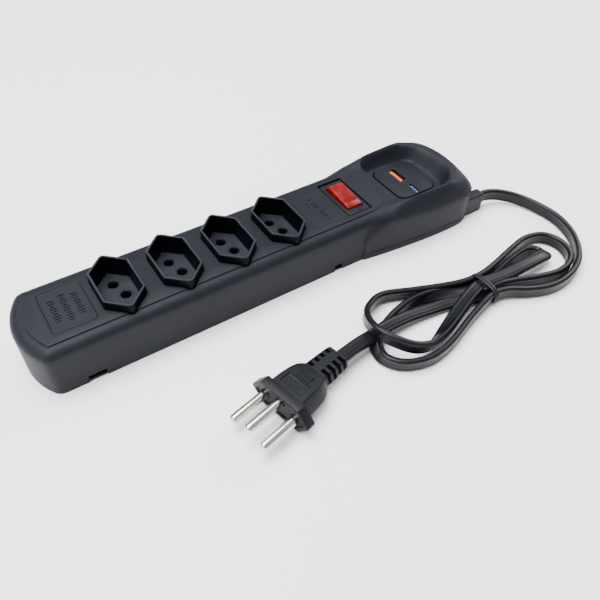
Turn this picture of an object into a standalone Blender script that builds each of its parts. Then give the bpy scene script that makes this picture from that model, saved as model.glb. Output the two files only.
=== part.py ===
"""Power strip with four hexagonal outlets, a rocker switch, a phone basin with two USB ports
and a short flat cord tied in a bow. It rests on z = 0, with the cord leaving at the +X end."""

import math

import bmesh
import bpy
from mathutils import Matrix, Vector

# Sizes and places are in millimetres. Meshes are scaled to metres when they are made.
MM = 0.001
GAP = 0.3  # clearance between neighbouring pieces
PAST = 1.0  # how far a cutter runs past the face that it opens

# Driving dimensions of the body
BODY_LENGTH = 264.4
BODY_END = BODY_LENGTH / 2
NARROW_HALF = 23.9
WIDE_HALF = 30.0
WIDE_START = 50.5
LEFT_ARC_RADIUS = 38.0
LEFT_CORNER_Y = 22.0
LEFT_CORNER_LENGTH = 2.6
WALL = 2.0
DECK_Z = 28.3
DECK_THICKNESS = 2.2
CEILING = DECK_Z - DECK_THICKNESS
SHOULDER_WIDTH = 5.4
SHOULDER_HEIGHT = 5.6

# Base cover: a flat plate, which is a shallow tray under the wide end
PLATE_THICKNESS = 2.2
TRAY_TOP = 4.3
RIB_XS = (-90.0, -66.0, -36.0, -6.0, 14.0)
RIB_THICKNESS = 2.0
RIB_HALF = 13.0
RIB_TOP = 7.6
PRY_NOTCHES = ((-109.8, -100.8), (31.5, 36.5))
PRY_DEPTH = 1.0

# Outlets
OUTLET_COUNT = 4
OUTLET_PITCH = 30.1
FIRST_OUTLET_X = -81.0
OUTLET_XS = [FIRST_OUTLET_X + i * OUTLET_PITCH for i in range(OUTLET_COUNT)]
COLLAR_ACROSS = 21.0
COLLAR_TIP = 20.6
COLLAR_FLAT = 10.9
COLLAR_TOP = 33.2
COLLAR_WALL = 1.4
RECESS_FLOOR = 21.5
RECESS_THICKNESS = 2.0
RECESS_BOTTOM = RECESS_FLOOR - RECESS_THICKNESS
LEDGE_WIDTH = 1.6
LEDGE_HALF = 9.5
LEDGE_BOTTOM = 24.2
PIN_PITCH = 19.0
EARTH_OFFSET = 3.0
PIN_HOLE_RADIUS = 2.6

# Brass strips under the outlets, with a square sleeve for each pin
BUSBAR_Z = 8.0
BUSBAR_THICKNESS = 0.9
BUSBAR_HALF = 2.6
BUSBAR_ENDS = (OUTLET_XS[0] - 5.0, 16.0)
SLEEVE_HALF = 3.1
SLEEVE_WALL = 0.8
SLEEVE_FLOOR = 2.0

# Phone basin and its USB plate
BASIN_FRONT = 77.5
BASIN_END = 122.5
BASIN_HALF = 22.3
BASIN_RADIUS = 9.0
BASIN_BOTTOM = ((78.7, -17.5), (114.0, 17.5))
BASIN_BOTTOM_RADIUS = 7.0
BASIN_FLOOR = 22.0
RIM_TOP = 31.0
USB_PLATE = ((79.6, -16.5), (111.5, 16.5))
USB_PLATE_RADIUS = 6.0
USB_PLATE_THICKNESS = 1.8
PORT_FLOOR = 1.0
TONGUE_RECESS = 0.6

# Each port: name, centre, size, corner radius, depth, wall, tongue's thickness, tongue's finish
USB_PORTS = (("usb_a", (98.0, 6.7), (5.5, 13.0), 0.4, 13.8, 0.5, 1.8, "orange"),
             ("usb_c", (98.4, -8.3), (3.2, 8.9), 1.4, 9.0, 0.4, 0.7, "blue_grey"))

# Charger board: the ends in X and Y of the board and its transformer, and its capacitor
BOARD = ((88.0, -13.0), (126.0, 13.5))
BOARD_Z = 5.0
BOARD_TOP = BOARD_Z + 1.6
TRANSFORMER = ((108.0, -2.0), (122.0, 12.5))
TRANSFORMER_HEIGHT = 10.5
CAPACITOR_PLACE = (113.5, -7.8)
CAPACITOR_RADIUS = 4.0
CAPACITOR_HEIGHT = 12.0

# Switch: the rocker turns about X, and it is stored with its near end pressed
SWITCH_X = 52.8
SWITCH_SIZE = (15.4, 30.9)
SWITCH_BODY = (13.0, 24.6)
SWITCH_WELL = (10.5, 21.9)
SWITCH_FLANGE_Z = 25.6
SWITCH_BOTTOM = 9.0
WELL_FLOOR = 11.0
PIVOT_Z = 25.5
PIVOT_HOLE_RADIUS = 1.5
AXLE_RADIUS = 1.2
AXLE_HALF = 6.1
ROCKER_HALF_WIDTH = 4.95
ROCKER_RADIUS = 10.6
ROCKER_CROWN = (6.4, 4.9)
ROCKER_TILT = 6.0
ROCKER_POCKET = (2.4, 8.4)
ROCKER_POCKET_HALF = 3.6
PLUNGER_RADIUS = 1.0
PLUNGER_BORE = 1.4
PLUNGER_Z = (17.2, 23.0)
BRIDGE_Z = 16.2
BRIDGE_TILT = 4.0
BRIDGE_HALF = (1.6, 7.5, 0.4)
BLADE_HALF = (3.0, 0.4)
BLADE_BOTTOM = 3.4
LAMP_RADIUS = 1.5
LAMP_HALF = 4.0
LAMP_PLACE = (6.0, 19.2)

# Each terminal blade: name, y and top
BLADES = (("switch_terminal_on", -7.8, 14.4), ("switch_terminal_common", 0.0, 15.4),
          ("switch_terminal_lamp", 7.8, 13.0))

# Fasteners under the body: x, y and the height of the post above each
POSTS = [(-65.95, 16.5, 27.0), (-65.95, -16.5, 27.0), (-5.75, 16.5, 27.0), (-5.75, -16.5, 27.0),
         (70.0, -22.4, 24.0), (118.0, 20.0, 20.8)]
POST_RADIUS = 3.2
POST_BOTTOM = 2.5
SCREW_RADIUS = 1.4
SCREW_TOP = 12.0
HEAD_RADIUS = 2.8
HEAD_Z = (0.1, 1.2)
HEAD_SLOT = (3.6, 0.8)
HEAD_SLOT_TOP = 0.6

# Cord outlet and clamp
GLAND_Y = -23.1
GLAND_HALF = 3.1
GLAND_TAPER = 0.7
GLAND_Z = (0.6, 12.0)
GLAND_START = 127.0
GLAND_END = 141.0
GLAND_TAIL = 112.0
GLAND_TAIL_HALF = 2.2
GLAND_TAIL_Z = (2.8, 11.0)
GLAND_COLLAR = (121.5, 124.0)
GLAND_COLLAR_HALF = 2.9
GLAND_COLLAR_Z = (2.6, 12.0)
CABLE_NOTCH = (115.0, 138.0)
CLAMP_X = (106.0, 119.5)
CLAMP_Y = (-26.0, -15.5)
CLAMP_Z = (11.3, 13.3)
CLAMP_BLOCK_Y = (-19.9, -15.5)
CLAMP_BLOCK_TOP = 11.0
CLAMP_SCREWS = [(108.5, -17.6), (116.5, -17.6)]
CLAMP_HOLE = 1.5
CLAMP_SCREW_RADIUS = 1.2
CLAMP_HEAD_RADIUS = 2.1
CLAMP_HEAD_Z = (13.6, 15.0)
CLAMP_SCREW_BOTTOM = 5.0

# Inner wires
WIRE_RADIUS = 1.1
WIRE_START = GLAND_TAIL - GAP
WIRE_ROUTES = {
    "wire_live": ("wire_red", [(WIRE_START, -21.6, 7.0), (103.5, -21.4, 6.2), (94.0, -18.0, 5.2),
                               (80.0, -15.6, 5.0), (66.0, -8.0, 5.0), (57.2, 0.0, 5.0)]),
    "wire_neutral": ("wire_blue", [(WIRE_START, -23.1, 4.2), (96.0, -22.6, 4.2), (80.0, -18.4, 4.2),
                                   (62.0, -15.8, 4.2), (40.0, -13.6, 5.0), (16.5, -9.5, 8.5)]),
    "wire_earth": ("wire_green", [(WIRE_START, -24.4, 7.2), (96.0, -22.6, 8.0), (78.0, -17.4, 8.0),
                                  (60.0, -15.6, 8.0), (45.5, -15.0, 7.8), (33.0, -6.0, 7.8),
                                  (16.5, 0.0, 8.5)]),
    "wire_switched": ("wire_red", [(49.2, -7.8, 5.4), (42.0, -4.0, 5.0), (30.0, 4.5, 5.4),
                                   (16.5, 9.5, 8.5)]),
}

# Cord: it is flat, and its tubes are as thick as the cord is wide. The lead runs from the
# gland to the bow, and the tail from the bow to the plug.
CORD_RADIUS = 3.5
CORD_STEP = 8.0
LEAD_ROUTE = [(141.7, -23.1, 7.2), (147.0, -23.8, 7.1), (155.5, -27.6, 6.0), (163.2, -35.2, 4.6),
              (168.4, -47.0, 3.8), (170.0, -61.0, 3.6), (165.9, -75.5, 3.6), (160.9, -83.0, 3.6)]
TAIL_ROUTE = [(-4.0, -79.6, 8.2), (6.0, -78.4, 8.0), (10.6, -77.8, 7.7)]

# The bow's outline, as if its loops were filled, and the tie round its middle
HANK_LEFT = [(11.5, -71.0), (15.0, -62.0), (25.0, -54.8), (41.0, -53.0), (60.0, -58.0), (83.0, -70.0)]
HANK_RIGHT = [(95.0, -70.5), (112.0, -66.5), (133.0, -61.5), (149.0, -66.0), (155.3, -82.9)]
HANK_RIGHT_LOW = [(162.0, -87.3), (154.0, -95.5), (140.0, -103.3), (121.0, -103.8), (106.0, -98.0),
                  (95.0, -92.5)]
HANK_LEFT_LOW = [(83.0, -93.0), (66.0, -98.0), (48.0, -104.8), (30.0, -106.0), (16.0, -99.0),
                 (11.5, -88.0), (11.5, -79.4)]
HANK_STEP = 9.0
HANK_HEIGHT = 11.0
TIE_X = (85.5, 92.5)
TIE_Y = (-93.4, -69.6)
TIE_TOP = 12.2
TIE_THICKNESS = 1.1

# Plug: its own frame has the pins' root plane at x = 0 and the cord towards +X
PLUG_PLACE = (-44.5, -87.9)
PLUG_TURN = 13.0
PLUG_AXIS_Z = 8.2
PIN_LENGTH = 20.0
PIN_RADIUS = 2.4
PIN_ROOT = 5.0
RELIEF_END = 40.7
RELIEF_NOTCHES = 4
RELIEF_NOTCH_X = 26.5
RELIEF_NOTCH_PITCH = 3.6
RELIEF_NOTCH_WIDTH = 1.4
RELIEF_NOTCH_SHIFT = 1.2
RELIEF_NOTCH_Y = (3.0, 8.0)
RELIEF_NOTCH_Z = (3.0, 14.0)

# The plug's sections: x, half width at the pins' level, half width at top and bottom, and their heights
PLUG_FLANGE = ((0.0, 18.2, 11.5, 0.0, 16.4), (5.0, 18.0, 11.5, 0.0, 16.4))
PLUG_GRIP = ((4.0, 13.6, 9.4, 0.8, 15.6), (17.0, 12.4, 8.6, 1.0, 15.2), (23.0, 8.5, 6.5, 2.6, 13.6))
PLUG_RELIEF = ((21.0, 6.9, 5.2, 3.9, 12.6), (RELIEF_END, 6.1, 4.8, 4.2, 12.2))

FINISHES = {
    "housing": ((0.105, 0.110, 0.125), 0.55, 0.0),
    "dark_plastic": ((0.030, 0.031, 0.036), 0.42, 0.0),
    "cord": ((0.035, 0.036, 0.042), 0.45, 0.0),
    "red_lens": ((0.62, 0.04, 0.03), 0.22, 0.0),
    "orange": ((0.85, 0.24, 0.05), 0.45, 0.0),
    "blue_grey": ((0.20, 0.30, 0.40), 0.40, 0.0),
    "nickel": ((0.78, 0.77, 0.74), 0.20, 1.0),
    "brass": ((0.78, 0.56, 0.22), 0.30, 1.0),
    "steel": ((0.55, 0.55, 0.56), 0.35, 1.0),
    "board": ((0.04, 0.20, 0.10), 0.50, 0.0),
    "ferrite": ((0.75, 0.62, 0.15), 0.55, 0.0),
    "lamp_glass": ((0.90, 0.70, 0.60), 0.10, 0.0),
    "wire_red": ((0.50, 0.03, 0.03), 0.45, 0.0),
    "wire_blue": ((0.04, 0.14, 0.45), 0.45, 0.0),
    "wire_green": ((0.05, 0.35, 0.10), 0.45, 0.0),
}


# ---------------------------------------------------------------- outlines

def offset(outline, distance):
    """The outline (counter-clockwise) moved outwards by distance, or inwards where it is negative."""
    moved = []
    for i, point in enumerate(outline):
        here = Vector(point)
        before = (here - Vector(outline[i - 1])).normalized()
        after = (Vector(outline[(i + 1) % len(outline)]) - here).normalized()
        first = Vector((before.y, -before.x))
        second = Vector((after.y, -after.x))
        shift = (first + second) * (distance / (1.0 + first.dot(second)))
        moved.append(tuple(here + shift))
    return moved


def rounded_rectangle(low, high, radius, steps=4):
    corners = [(high[0] - radius, high[1] - radius, 0), (low[0] + radius, high[1] - radius, 90),
               (low[0] + radius, low[1] + radius, 180), (high[0] - radius, low[1] + radius, 270)]
    points = []
    for x, y, start in corners:
        for i in range(steps + 1):
            angle = math.radians(start + 90 * i / steps)
            points.append((x + radius * math.cos(angle), y + radius * math.sin(angle)))
    return points


def rectangle(low, high):
    return [(high[0], high[1]), (low[0], high[1]), (low[0], low[1]), (high[0], low[1])]


def circle(x, y, radius, sides=12):
    turns = [2 * math.pi * i / sides for i in range(sides)]
    return [(x + radius * math.cos(a), y + radius * math.sin(a)) for a in turns]


def hexagon(x):
    half = COLLAR_ACROSS / 2
    return [(x + half, -COLLAR_FLAT), (x + half, COLLAR_FLAT), (x, COLLAR_TIP),
            (x - half, COLLAR_FLAT), (x - half, -COLLAR_FLAT), (x, -COLLAR_TIP)]


def smooth(route, step):
    """Points about every step along a Catmull-Rom curve through the route."""
    knots = [Vector(p) for p in route]
    knots = [2 * knots[0] - knots[1]] + knots + [2 * knots[-1] - knots[-2]]
    points = []
    for a, b, c, d in zip(knots, knots[1:], knots[2:], knots[3:]):
        pieces = max(1, round((c - b).length / step))
        for i in range(pieces):
            t = i / pieces
            points.append(0.5 * (2 * b + (c - a) * t + (2 * a - 5 * b + 4 * c - d) * t ** 2
                                 + (3 * b - a - 3 * c + d) * t ** 3))
    return [tuple(p) for p in points] + [tuple(knots[-2])]


def left_end(steps=8):
    """The bowed left end, from its far corner to its near one."""
    centre = -BODY_END + LEFT_ARC_RADIUS
    half_angle = math.asin(LEFT_CORNER_Y / LEFT_ARC_RADIUS)
    angles = [math.pi - half_angle + 2 * half_angle * i / steps for i in range(steps + 1)]
    return [(centre + LEFT_ARC_RADIUS * math.cos(a), LEFT_ARC_RADIUS * math.sin(a)) for a in angles]


def narrow_outline(right):
    """The plan of the narrow part alone, cut off straight at its right."""
    corner = left_end()[-1][0] + LEFT_CORNER_LENGTH
    return [(corner, -NARROW_HALF), (right, -NARROW_HALF), (right, NARROW_HALF),
            (corner, NARROW_HALF)] + left_end()


def body_outline():
    """The body's plan: a straight narrow part and a wider, round-cornered right end."""
    end = BODY_END
    flank = [(WIDE_START, -NARROW_HALF), (54.0, -25.2), (62.0, -26.4), (75.0, -27.9), (95.0, -29.6),
             (112.0, -WIDE_HALF), (121.0, -29.4), (127.0, -27.0), (130.4, -22.8), (131.6, -14.0)]
    corner = left_end()[-1]
    near = [(corner[0] + LEFT_CORNER_LENGTH, -NARROW_HALF)] + flank
    far = [(x, -y) for x, y in reversed(near)]
    return near + [(end, 0.0)] + far + left_end()


# ---------------------------------------------------------------- solids

def loft(rings):
    """A closed solid skinned over rings of equal length, with a flat cap on each end."""
    bm = bmesh.new()
    loops = [[bm.verts.new(p) for p in ring] for ring in rings]
    for low, high in zip(loops, loops[1:]):
        for i in range(len(low)):
            j = (i + 1) % len(low)
            bm.faces.new((low[i], low[j], high[j], high[i]))
    bm.faces.new(list(reversed(loops[0])))
    bm.faces.new(loops[-1])
    bmesh.ops.recalc_face_normals(bm, faces=bm.faces)
    return bm


def stack(levels):
    """A solid from (outline, z) levels, bottom to top."""
    return loft([[(x, y, z) for x, y in outline] for outline, z in levels])


def prism(outline, low, high):
    return stack([(outline, low), (outline, high)])


def box(low, high):
    return prism(rectangle(low[:2], high[:2]), low[2], high[2])


def rod(x, y, radius, low, high, sides=12):
    return prism(circle(x, y, radius, sides), low, high)


def turned(bm, degrees, axis, centre):
    """The same solid turned about an axis through centre."""
    bmesh.ops.rotate(bm, cent=centre, matrix=Matrix.Rotation(math.radians(degrees), 3, axis),
                     verts=bm.verts)
    return bm


def across(bm, x):
    """A solid drawn in X and Y and raised in Z, laid so that it is drawn in Y and Z instead."""
    matrix = Matrix(((0, 0, 1, x), (1, 0, 0, 0), (0, 1, 0, 0), (0, 0, 0, 1)))
    bmesh.ops.transform(bm, matrix=matrix, verts=bm.verts)
    return bm


# ---------------------------------------------------------------- objects

def material(finish):
    if finish in bpy.data.materials:
        return bpy.data.materials[finish]
    color, roughness, metallic = FINISHES[finish]
    made = bpy.data.materials.new(finish)
    made.use_nodes = True
    shader = made.node_tree.nodes["Principled BSDF"]
    shader.inputs["Base Color"].default_value = (*color, 1.0)
    shader.inputs["Roughness"].default_value = roughness
    shader.inputs["Metallic"].default_value = metallic
    made.diffuse_color = (*color, 1.0)
    return made


def place(name, bm, finish, pivot=(0.0, 0.0, 0.0)):
    """A named object in metres from a solid in millimetres, with its origin at pivot."""
    bmesh.ops.translate(bm, vec=-Vector(pivot), verts=bm.verts)
    bmesh.ops.scale(bm, vec=(MM, MM, MM), verts=bm.verts)
    mesh = bpy.data.meshes.new(name)
    bm.to_mesh(mesh)
    bm.free()
    mesh.materials.append(material(finish))
    mesh.shade_smooth()
    mesh.set_sharp_from_angle(angle=math.radians(35))
    obj = bpy.data.objects.new(name, mesh)
    obj.location = Vector(pivot) * MM
    bpy.context.scene.collection.objects.link(obj)
    return obj


def combine(obj, operation, solids):
    """Boolean modifiers that cut each solid from the object, or join each solid to it."""
    for solid in solids:
        number = len(obj.modifiers)
        helper = place(f"{obj.name}_helper_{number}", solid, "housing", tuple(obj.location / MM))
        helper.hide_render = True
        helper.display_type = "WIRE"
        modifier = obj.modifiers.new(f"{operation.lower()}_{number}", "BOOLEAN")
        modifier.operation = operation
        modifier.object = helper
    return obj


def cut(obj, *solids):
    return combine(obj, "DIFFERENCE", solids)


def join(obj, *solids):
    return combine(obj, "UNION", solids)


def tube(name, route, radius, finish, step, resolution):
    """A round tube on a smooth curve through the route."""
    points = smooth(route, step)
    curve = bpy.data.curves.new(name, "CURVE")
    curve.dimensions = "3D"
    curve.bevel_depth = radius * MM
    curve.bevel_resolution = resolution
    curve.use_fill_caps = True
    curve.materials.append(material(finish))
    spline = curve.splines.new("POLY")
    spline.points.add(len(points) - 1)
    for target, point in zip(spline.points, points):
        target.co = (*(Vector(point) * MM), 1.0)
    obj = bpy.data.objects.new(name, curve)
    bpy.context.scene.collection.objects.link(obj)
    return obj


# ---------------------------------------------------------------- housing

def rounded_top(outline, base, top, inset, steps=3):
    """Levels of a quarter-round shoulder from the outline at base to its inset copy at top."""
    levels = []
    for i in range(steps + 1):
        angle = math.radians(90 * i / steps)
        levels.append((offset(outline, -inset * (1 - math.cos(angle))),
                       base + (top - base) * math.sin(angle)))
    return levels


def rim_section(point, inward, height):
    """One section of the raised rim round the basin, as four corners."""
    profile = [(2.4, 26.0), (6.2, DECK_Z + height), (8.2, DECK_Z + height * 0.8), (10.0, 26.0)]
    return [(point.x + inward.x * d, point.y + inward.y * d, z) for d, z in profile]


def basin_rim():
    """The horseshoe hump round the basin, which dies into the deck in front of it."""
    half = [(64.0, -26.6, 0.0), (70.0, -27.3, 0.12), (78.0, -28.2, 0.6), (86.0, -29.0, 1.0),
            (98.0, -29.7, 1.0), (112.0, -30.0, 0.9), (121.0, -28.2, 0.75), (127.5, -23.0, 0.65),
            (131.0, -13.0, 0.6)]
    path = half + [(BODY_END, 0.0, 0.6)] + [(x, -y, h) for x, y, h in reversed(half)]
    sections = []
    for i, (x, y, height) in enumerate(path):
        before = Vector(path[max(i - 1, 0)][:2])
        after = Vector(path[min(i + 1, len(path) - 1)][:2])
        along = (after - before).normalized()
        inward = Vector((-along.y, along.x))
        rise = (RIM_TOP - DECK_Z) * height
        sections.append(rim_section(Vector((x, y)), inward, rise))
    return loft(sections)


def basin_cutter():
    floor = rounded_rectangle(*BASIN_BOTTOM, BASIN_BOTTOM_RADIUS)
    edge = rounded_rectangle((BASIN_FRONT, -BASIN_HALF), (BASIN_END, BASIN_HALF), BASIN_RADIUS)
    middle = [((a[0] + b[0]) / 2, (a[1] + b[1]) / 2) for a, b in zip(floor, edge)]
    return stack([(floor, BASIN_FLOOR), (middle, 25.0), (edge, 29.6), (offset(edge, 0.8), RIM_TOP + 1.5)])


def pry_notches():
    """Shallow recesses at the foot of the side walls, where the base cover is pried off."""
    solids = []
    for low, high in PRY_NOTCHES:
        for side in (-1, 1):
            ys = sorted((side * (NARROW_HALF - PRY_DEPTH), side * (NARROW_HALF + PAST)))
            solids.append(box((low, ys[0], -PAST), (high, ys[1], TRAY_TOP)))
    return solids


def cable_notch():
    half = GLAND_HALF + GAP
    return box((CABLE_NOTCH[0], GLAND_Y - half, -PAST), (CABLE_NOTCH[1], GLAND_Y + half, GLAND_Z[1] + GAP))


def top_housing():
    outline = body_outline()
    shoulder = DECK_Z - SHOULDER_HEIGHT
    shell = [(outline, 0.0)] + rounded_top(outline, shoulder, DECK_Z, SHOULDER_WIDTH)
    obj = place("top_housing", stack(shell), "housing")
    join(obj, basin_rim())
    inner = offset(outline, -WALL)
    strip = offset(narrow_outline(BASIN_FRONT - WALL), -WALL)
    hollow = [(strip, BASIN_FLOOR - WALL - PAST)]
    hollow += rounded_top(strip, shoulder, CEILING, SHOULDER_WIDTH - 2 * GAP)
    cut(obj, prism(inner, -PAST, BASIN_FLOOR - WALL), stack(hollow), basin_cutter())
    join(obj, *[rod(x, y, POST_RADIUS, POST_BOTTOM, top, 10) for x, y, top in POSTS])
    cut(obj, *[rod(x, y, SCREW_RADIUS + GAP, 0.0, SCREW_TOP + 2.0, 8) for x, y, _ in POSTS])
    cut(obj, *[prism(offset(hexagon(x), GAP), RECESS_BOTTOM - PAST, COLLAR_TOP + PAST) for x in OUTLET_XS])
    half = (SWITCH_SIZE[0] / 2 + GAP, SWITCH_SIZE[1] / 2 + GAP)
    cut(obj, box((SWITCH_X - half[0], -half[1], BASIN_FLOOR - WALL - PAST),
                 (SWITCH_X + half[0], half[1], DECK_Z + PAST)))
    cut(obj, prism(offset(usb_plate_outline(), GAP), BASIN_FLOOR - WALL - PAST, BASIN_FLOOR + PAST))
    cut(obj, box((WIDE_START - GAP, -WIDE_HALF - PAST, -PAST),
                 (BODY_END + PAST, WIDE_HALF + PAST, TRAY_TOP + GAP)))
    cut(obj, cable_notch(), *pry_notches())


def base_cover():
    outline = body_outline()
    obj = place("base_cover", prism(offset(outline, -WALL - GAP), 0.0, PLATE_THICKNESS), "housing")
    wide = [p for p in outline if p[0] >= WIDE_START]
    join(obj, prism(wide, 0.0, TRAY_TOP))
    cut(obj, prism(offset(outline, -WALL), PLATE_THICKNESS, TRAY_TOP + PAST))
    join(obj, *[box((x, -RIB_HALF, PLATE_THICKNESS - PAST), (x + RIB_THICKNESS, RIB_HALF, RIB_TOP))
                for x in RIB_XS])
    join(obj, box((CLAMP_X[0], CLAMP_BLOCK_Y[0], PLATE_THICKNESS - PAST),
                  (CLAMP_X[1], CLAMP_BLOCK_Y[1], CLAMP_BLOCK_TOP)))
    cut(obj, *[rod(x, y, SCREW_RADIUS + GAP, -PAST, TRAY_TOP + PAST, 8) for x, y, _ in POSTS])
    cut(obj, *[rod(x, y, POST_RADIUS, -PAST, HEAD_Z[1] + GAP, 10) for x, y, _ in POSTS])
    cut(obj, *[rod(x, y, CLAMP_HOLE, PLATE_THICKNESS + PAST, CLAMP_BLOCK_TOP + PAST, 8)
               for x, y in CLAMP_SCREWS])
    cut(obj, cable_notch())


def housing_screws():
    length, width = HEAD_SLOT[0] / 2, HEAD_SLOT[1] / 2
    for number, (x, y, _) in enumerate(POSTS, 1):
        obj = place(f"housing_screw_{number}", rod(x, y, HEAD_RADIUS, *HEAD_Z, 10), "steel")
        join(obj, rod(x, y, SCREW_RADIUS, HEAD_Z[1] - 0.4, SCREW_TOP, 8))
        cut(obj, box((x - length, y - width, -PAST), (x + length, y + width, HEAD_SLOT_TOP)),
            box((x - width, y - length, -PAST), (x + width, y + length, HEAD_SLOT_TOP)))


# ---------------------------------------------------------------- outlets and contacts

def outlet_insert(name, x):
    """A hexagonal cup whose collar stands above the deck, with a ledge held under the deck."""
    obj = place(name, prism(hexagon(x), RECESS_BOTTOM, COLLAR_TOP), "dark_plastic")
    half = COLLAR_ACROSS / 2 + LEDGE_WIDTH
    join(obj, box((x - half, -LEDGE_HALF, LEDGE_BOTTOM), (x + half, LEDGE_HALF, CEILING - GAP)))
    cut(obj, prism(offset(hexagon(x), -COLLAR_WALL), RECESS_FLOOR, COLLAR_TOP + PAST))
    holes = [(x, PIN_PITCH / 2), (x, -PIN_PITCH / 2), (x + EARTH_OFFSET, 0.0)]
    cut(obj, *[rod(px, py, PIN_HOLE_RADIUS, RECESS_BOTTOM - PAST, RECESS_FLOOR + PAST) for px, py in holes])


def busbar(name, y, shift):
    """A brass strip along the body with one square contact sleeve under each outlet."""
    top = RECESS_BOTTOM - GAP
    centres = [x + shift for x in OUTLET_XS]
    bore = SLEEVE_HALF - SLEEVE_WALL
    strip = box((BUSBAR_ENDS[0], y - BUSBAR_HALF, BUSBAR_Z),
                (BUSBAR_ENDS[1], y + BUSBAR_HALF, BUSBAR_Z + BUSBAR_THICKNESS))
    obj = place(name, strip, "brass")
    join(obj, *[box((x - SLEEVE_HALF, y - SLEEVE_HALF, BUSBAR_Z), (x + SLEEVE_HALF, y + SLEEVE_HALF, top))
                for x in centres])
    cut(obj, *[box((x - bore, y - bore, BUSBAR_Z + SLEEVE_FLOOR), (x + bore, y + bore, top + PAST))
               for x in centres])


# ---------------------------------------------------------------- USB charger

def usb_plate_outline():
    return rounded_rectangle(*USB_PLATE, USB_PLATE_RADIUS)


def port(centre, size, margin, radius, low, high):
    """A port's rounded block, larger than its size by margin on every side."""
    half = (size[0] / 2 + margin, size[1] / 2 + margin)
    corner = max(radius + margin, 0.2)
    outline = rounded_rectangle((centre[0] - half[0], centre[1] - half[1]),
                                (centre[0] + half[0], centre[1] + half[1]), corner, 3)
    return prism(outline, low, high)


def usb_ports():
    bottom = BASIN_FLOOR - USB_PLATE_THICKNESS
    plate = place("usb_faceplate", prism(usb_plate_outline(), bottom, BASIN_FLOOR), "housing")
    for name, centre, size, radius, depth, wall, thickness, finish in USB_PORTS:
        low = BASIN_FLOOR - depth
        cut(plate, port(centre, size, GAP, radius, bottom - PAST, BASIN_FLOOR + PAST))
        shell = place(f"{name}_shell", port(centre, size, 0.0, radius, low, BASIN_FLOOR), "nickel")
        cut(shell, port(centre, size, -wall, radius, low + PORT_FLOOR, BASIN_FLOOR + PAST))
        usb_tongue(name, centre, size, low + PORT_FLOOR + GAP, wall, thickness, finish)


def usb_tongue(name, centre, size, bottom, wall, thickness, finish):
    """The tongue: along one side of the larger port, and in the middle of the smaller one."""
    middle = centre[0]
    if name == "usb_a":
        middle += (thickness - size[0]) / 2 + wall + GAP
    half = size[1] / 2 - wall - TONGUE_RECESS
    place(f"{name}_tongue", box((middle - thickness / 2, centre[1] - half, bottom),
                                (middle + thickness / 2, centre[1] + half, BASIN_FLOOR - TONGUE_RECESS)),
          finish)


def usb_charger_board():
    low = BOARD_TOP + GAP
    place("usb_board", prism(rectangle(*BOARD), BOARD_Z, BOARD_TOP), "board")
    place("usb_transformer", prism(rectangle(*TRANSFORMER), low, BOARD_TOP + TRANSFORMER_HEIGHT), "ferrite")
    place("usb_capacitor", rod(*CAPACITOR_PLACE, CAPACITOR_RADIUS, low, BOARD_TOP + CAPACITOR_HEIGHT),
          "blue_grey")


# ---------------------------------------------------------------- switch

def centred_box(x, size, low, high):
    """A box of this size in X and Y, about the line y = 0."""
    return box((x - size[0] / 2, -size[1] / 2, low), (x + size[0] / 2, size[1] / 2, high))


def switch_housing():
    x = SWITCH_X
    slot = (BLADE_HALF[0] + 0.4, BLADE_HALF[1] + 0.4)
    obj = place("switch_housing", centred_box(x, SWITCH_SIZE, SWITCH_FLANGE_Z, DECK_Z), "housing")
    join(obj, centred_box(x, SWITCH_BODY, SWITCH_BOTTOM, SWITCH_FLANGE_Z + PAST))
    cut(obj, centred_box(x, SWITCH_WELL, WELL_FLOOR, DECK_Z + PAST))
    cut(obj, across(rod(0.0, PIVOT_Z, PIVOT_HOLE_RADIUS, -SWITCH_SIZE[0], SWITCH_SIZE[0]), x))
    cut(obj, *[box((x - slot[0], y - slot[1], SWITCH_BOTTOM - PAST),
                   (x + slot[0], y + slot[1], WELL_FLOOR + PAST)) for _, y, _ in BLADES])


def rocker_profile():
    """The rocker's side view about its pivot: round ends, a flat crown and two chamfers."""
    ends = [math.radians(a) for a in (-19.0, -5.0, 9.0, 23.3)]
    right = [(ROCKER_RADIUS * math.cos(a), ROCKER_RADIUS * math.sin(a)) for a in ends]
    right.append(ROCKER_CROWN)
    left = [(-y, z) for y, z in reversed(right)]
    return [(y, z + PIVOT_Z) for y, z in right + left]


def rocker():
    """The rocker with the plunger and the spring that it carries, all tilted about its axle."""
    x = SWITCH_X
    pivot = (x, 0.0, PIVOT_Z)

    def tilted(bm):
        return turned(bm, ROCKER_TILT, "X", pivot)

    profile = prism(rocker_profile(), -ROCKER_HALF_WIDTH, ROCKER_HALF_WIDTH)
    obj = place("rocker", tilted(across(profile, x)), "red_lens", pivot)
    join(obj, tilted(across(rod(0.0, PIVOT_Z, AXLE_RADIUS, -AXLE_HALF, AXLE_HALF), x)))
    for side in (-1, 1):
        near, far = sorted(side * y for y in ROCKER_POCKET)
        cut(obj, tilted(box((x - ROCKER_POCKET_HALF, near, PLUNGER_Z[0]),
                            (x + ROCKER_POCKET_HALF, far, PIVOT_Z + 2.4))))
    cut(obj, tilted(rod(x, 0.0, PLUNGER_BORE, PLUNGER_Z[0], PIVOT_Z + 1.6)))
    place("switch_plunger", tilted(rod(x, 0.0, PLUNGER_RADIUS, *PLUNGER_Z, 8)), "dark_plastic", pivot)
    place("plunger_spring", tilted(rod(x, 0.0, PLUNGER_RADIUS, PLUNGER_Z[1] + GAP, PIVOT_Z + 1.3, 8)),
          "steel", pivot)


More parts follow.
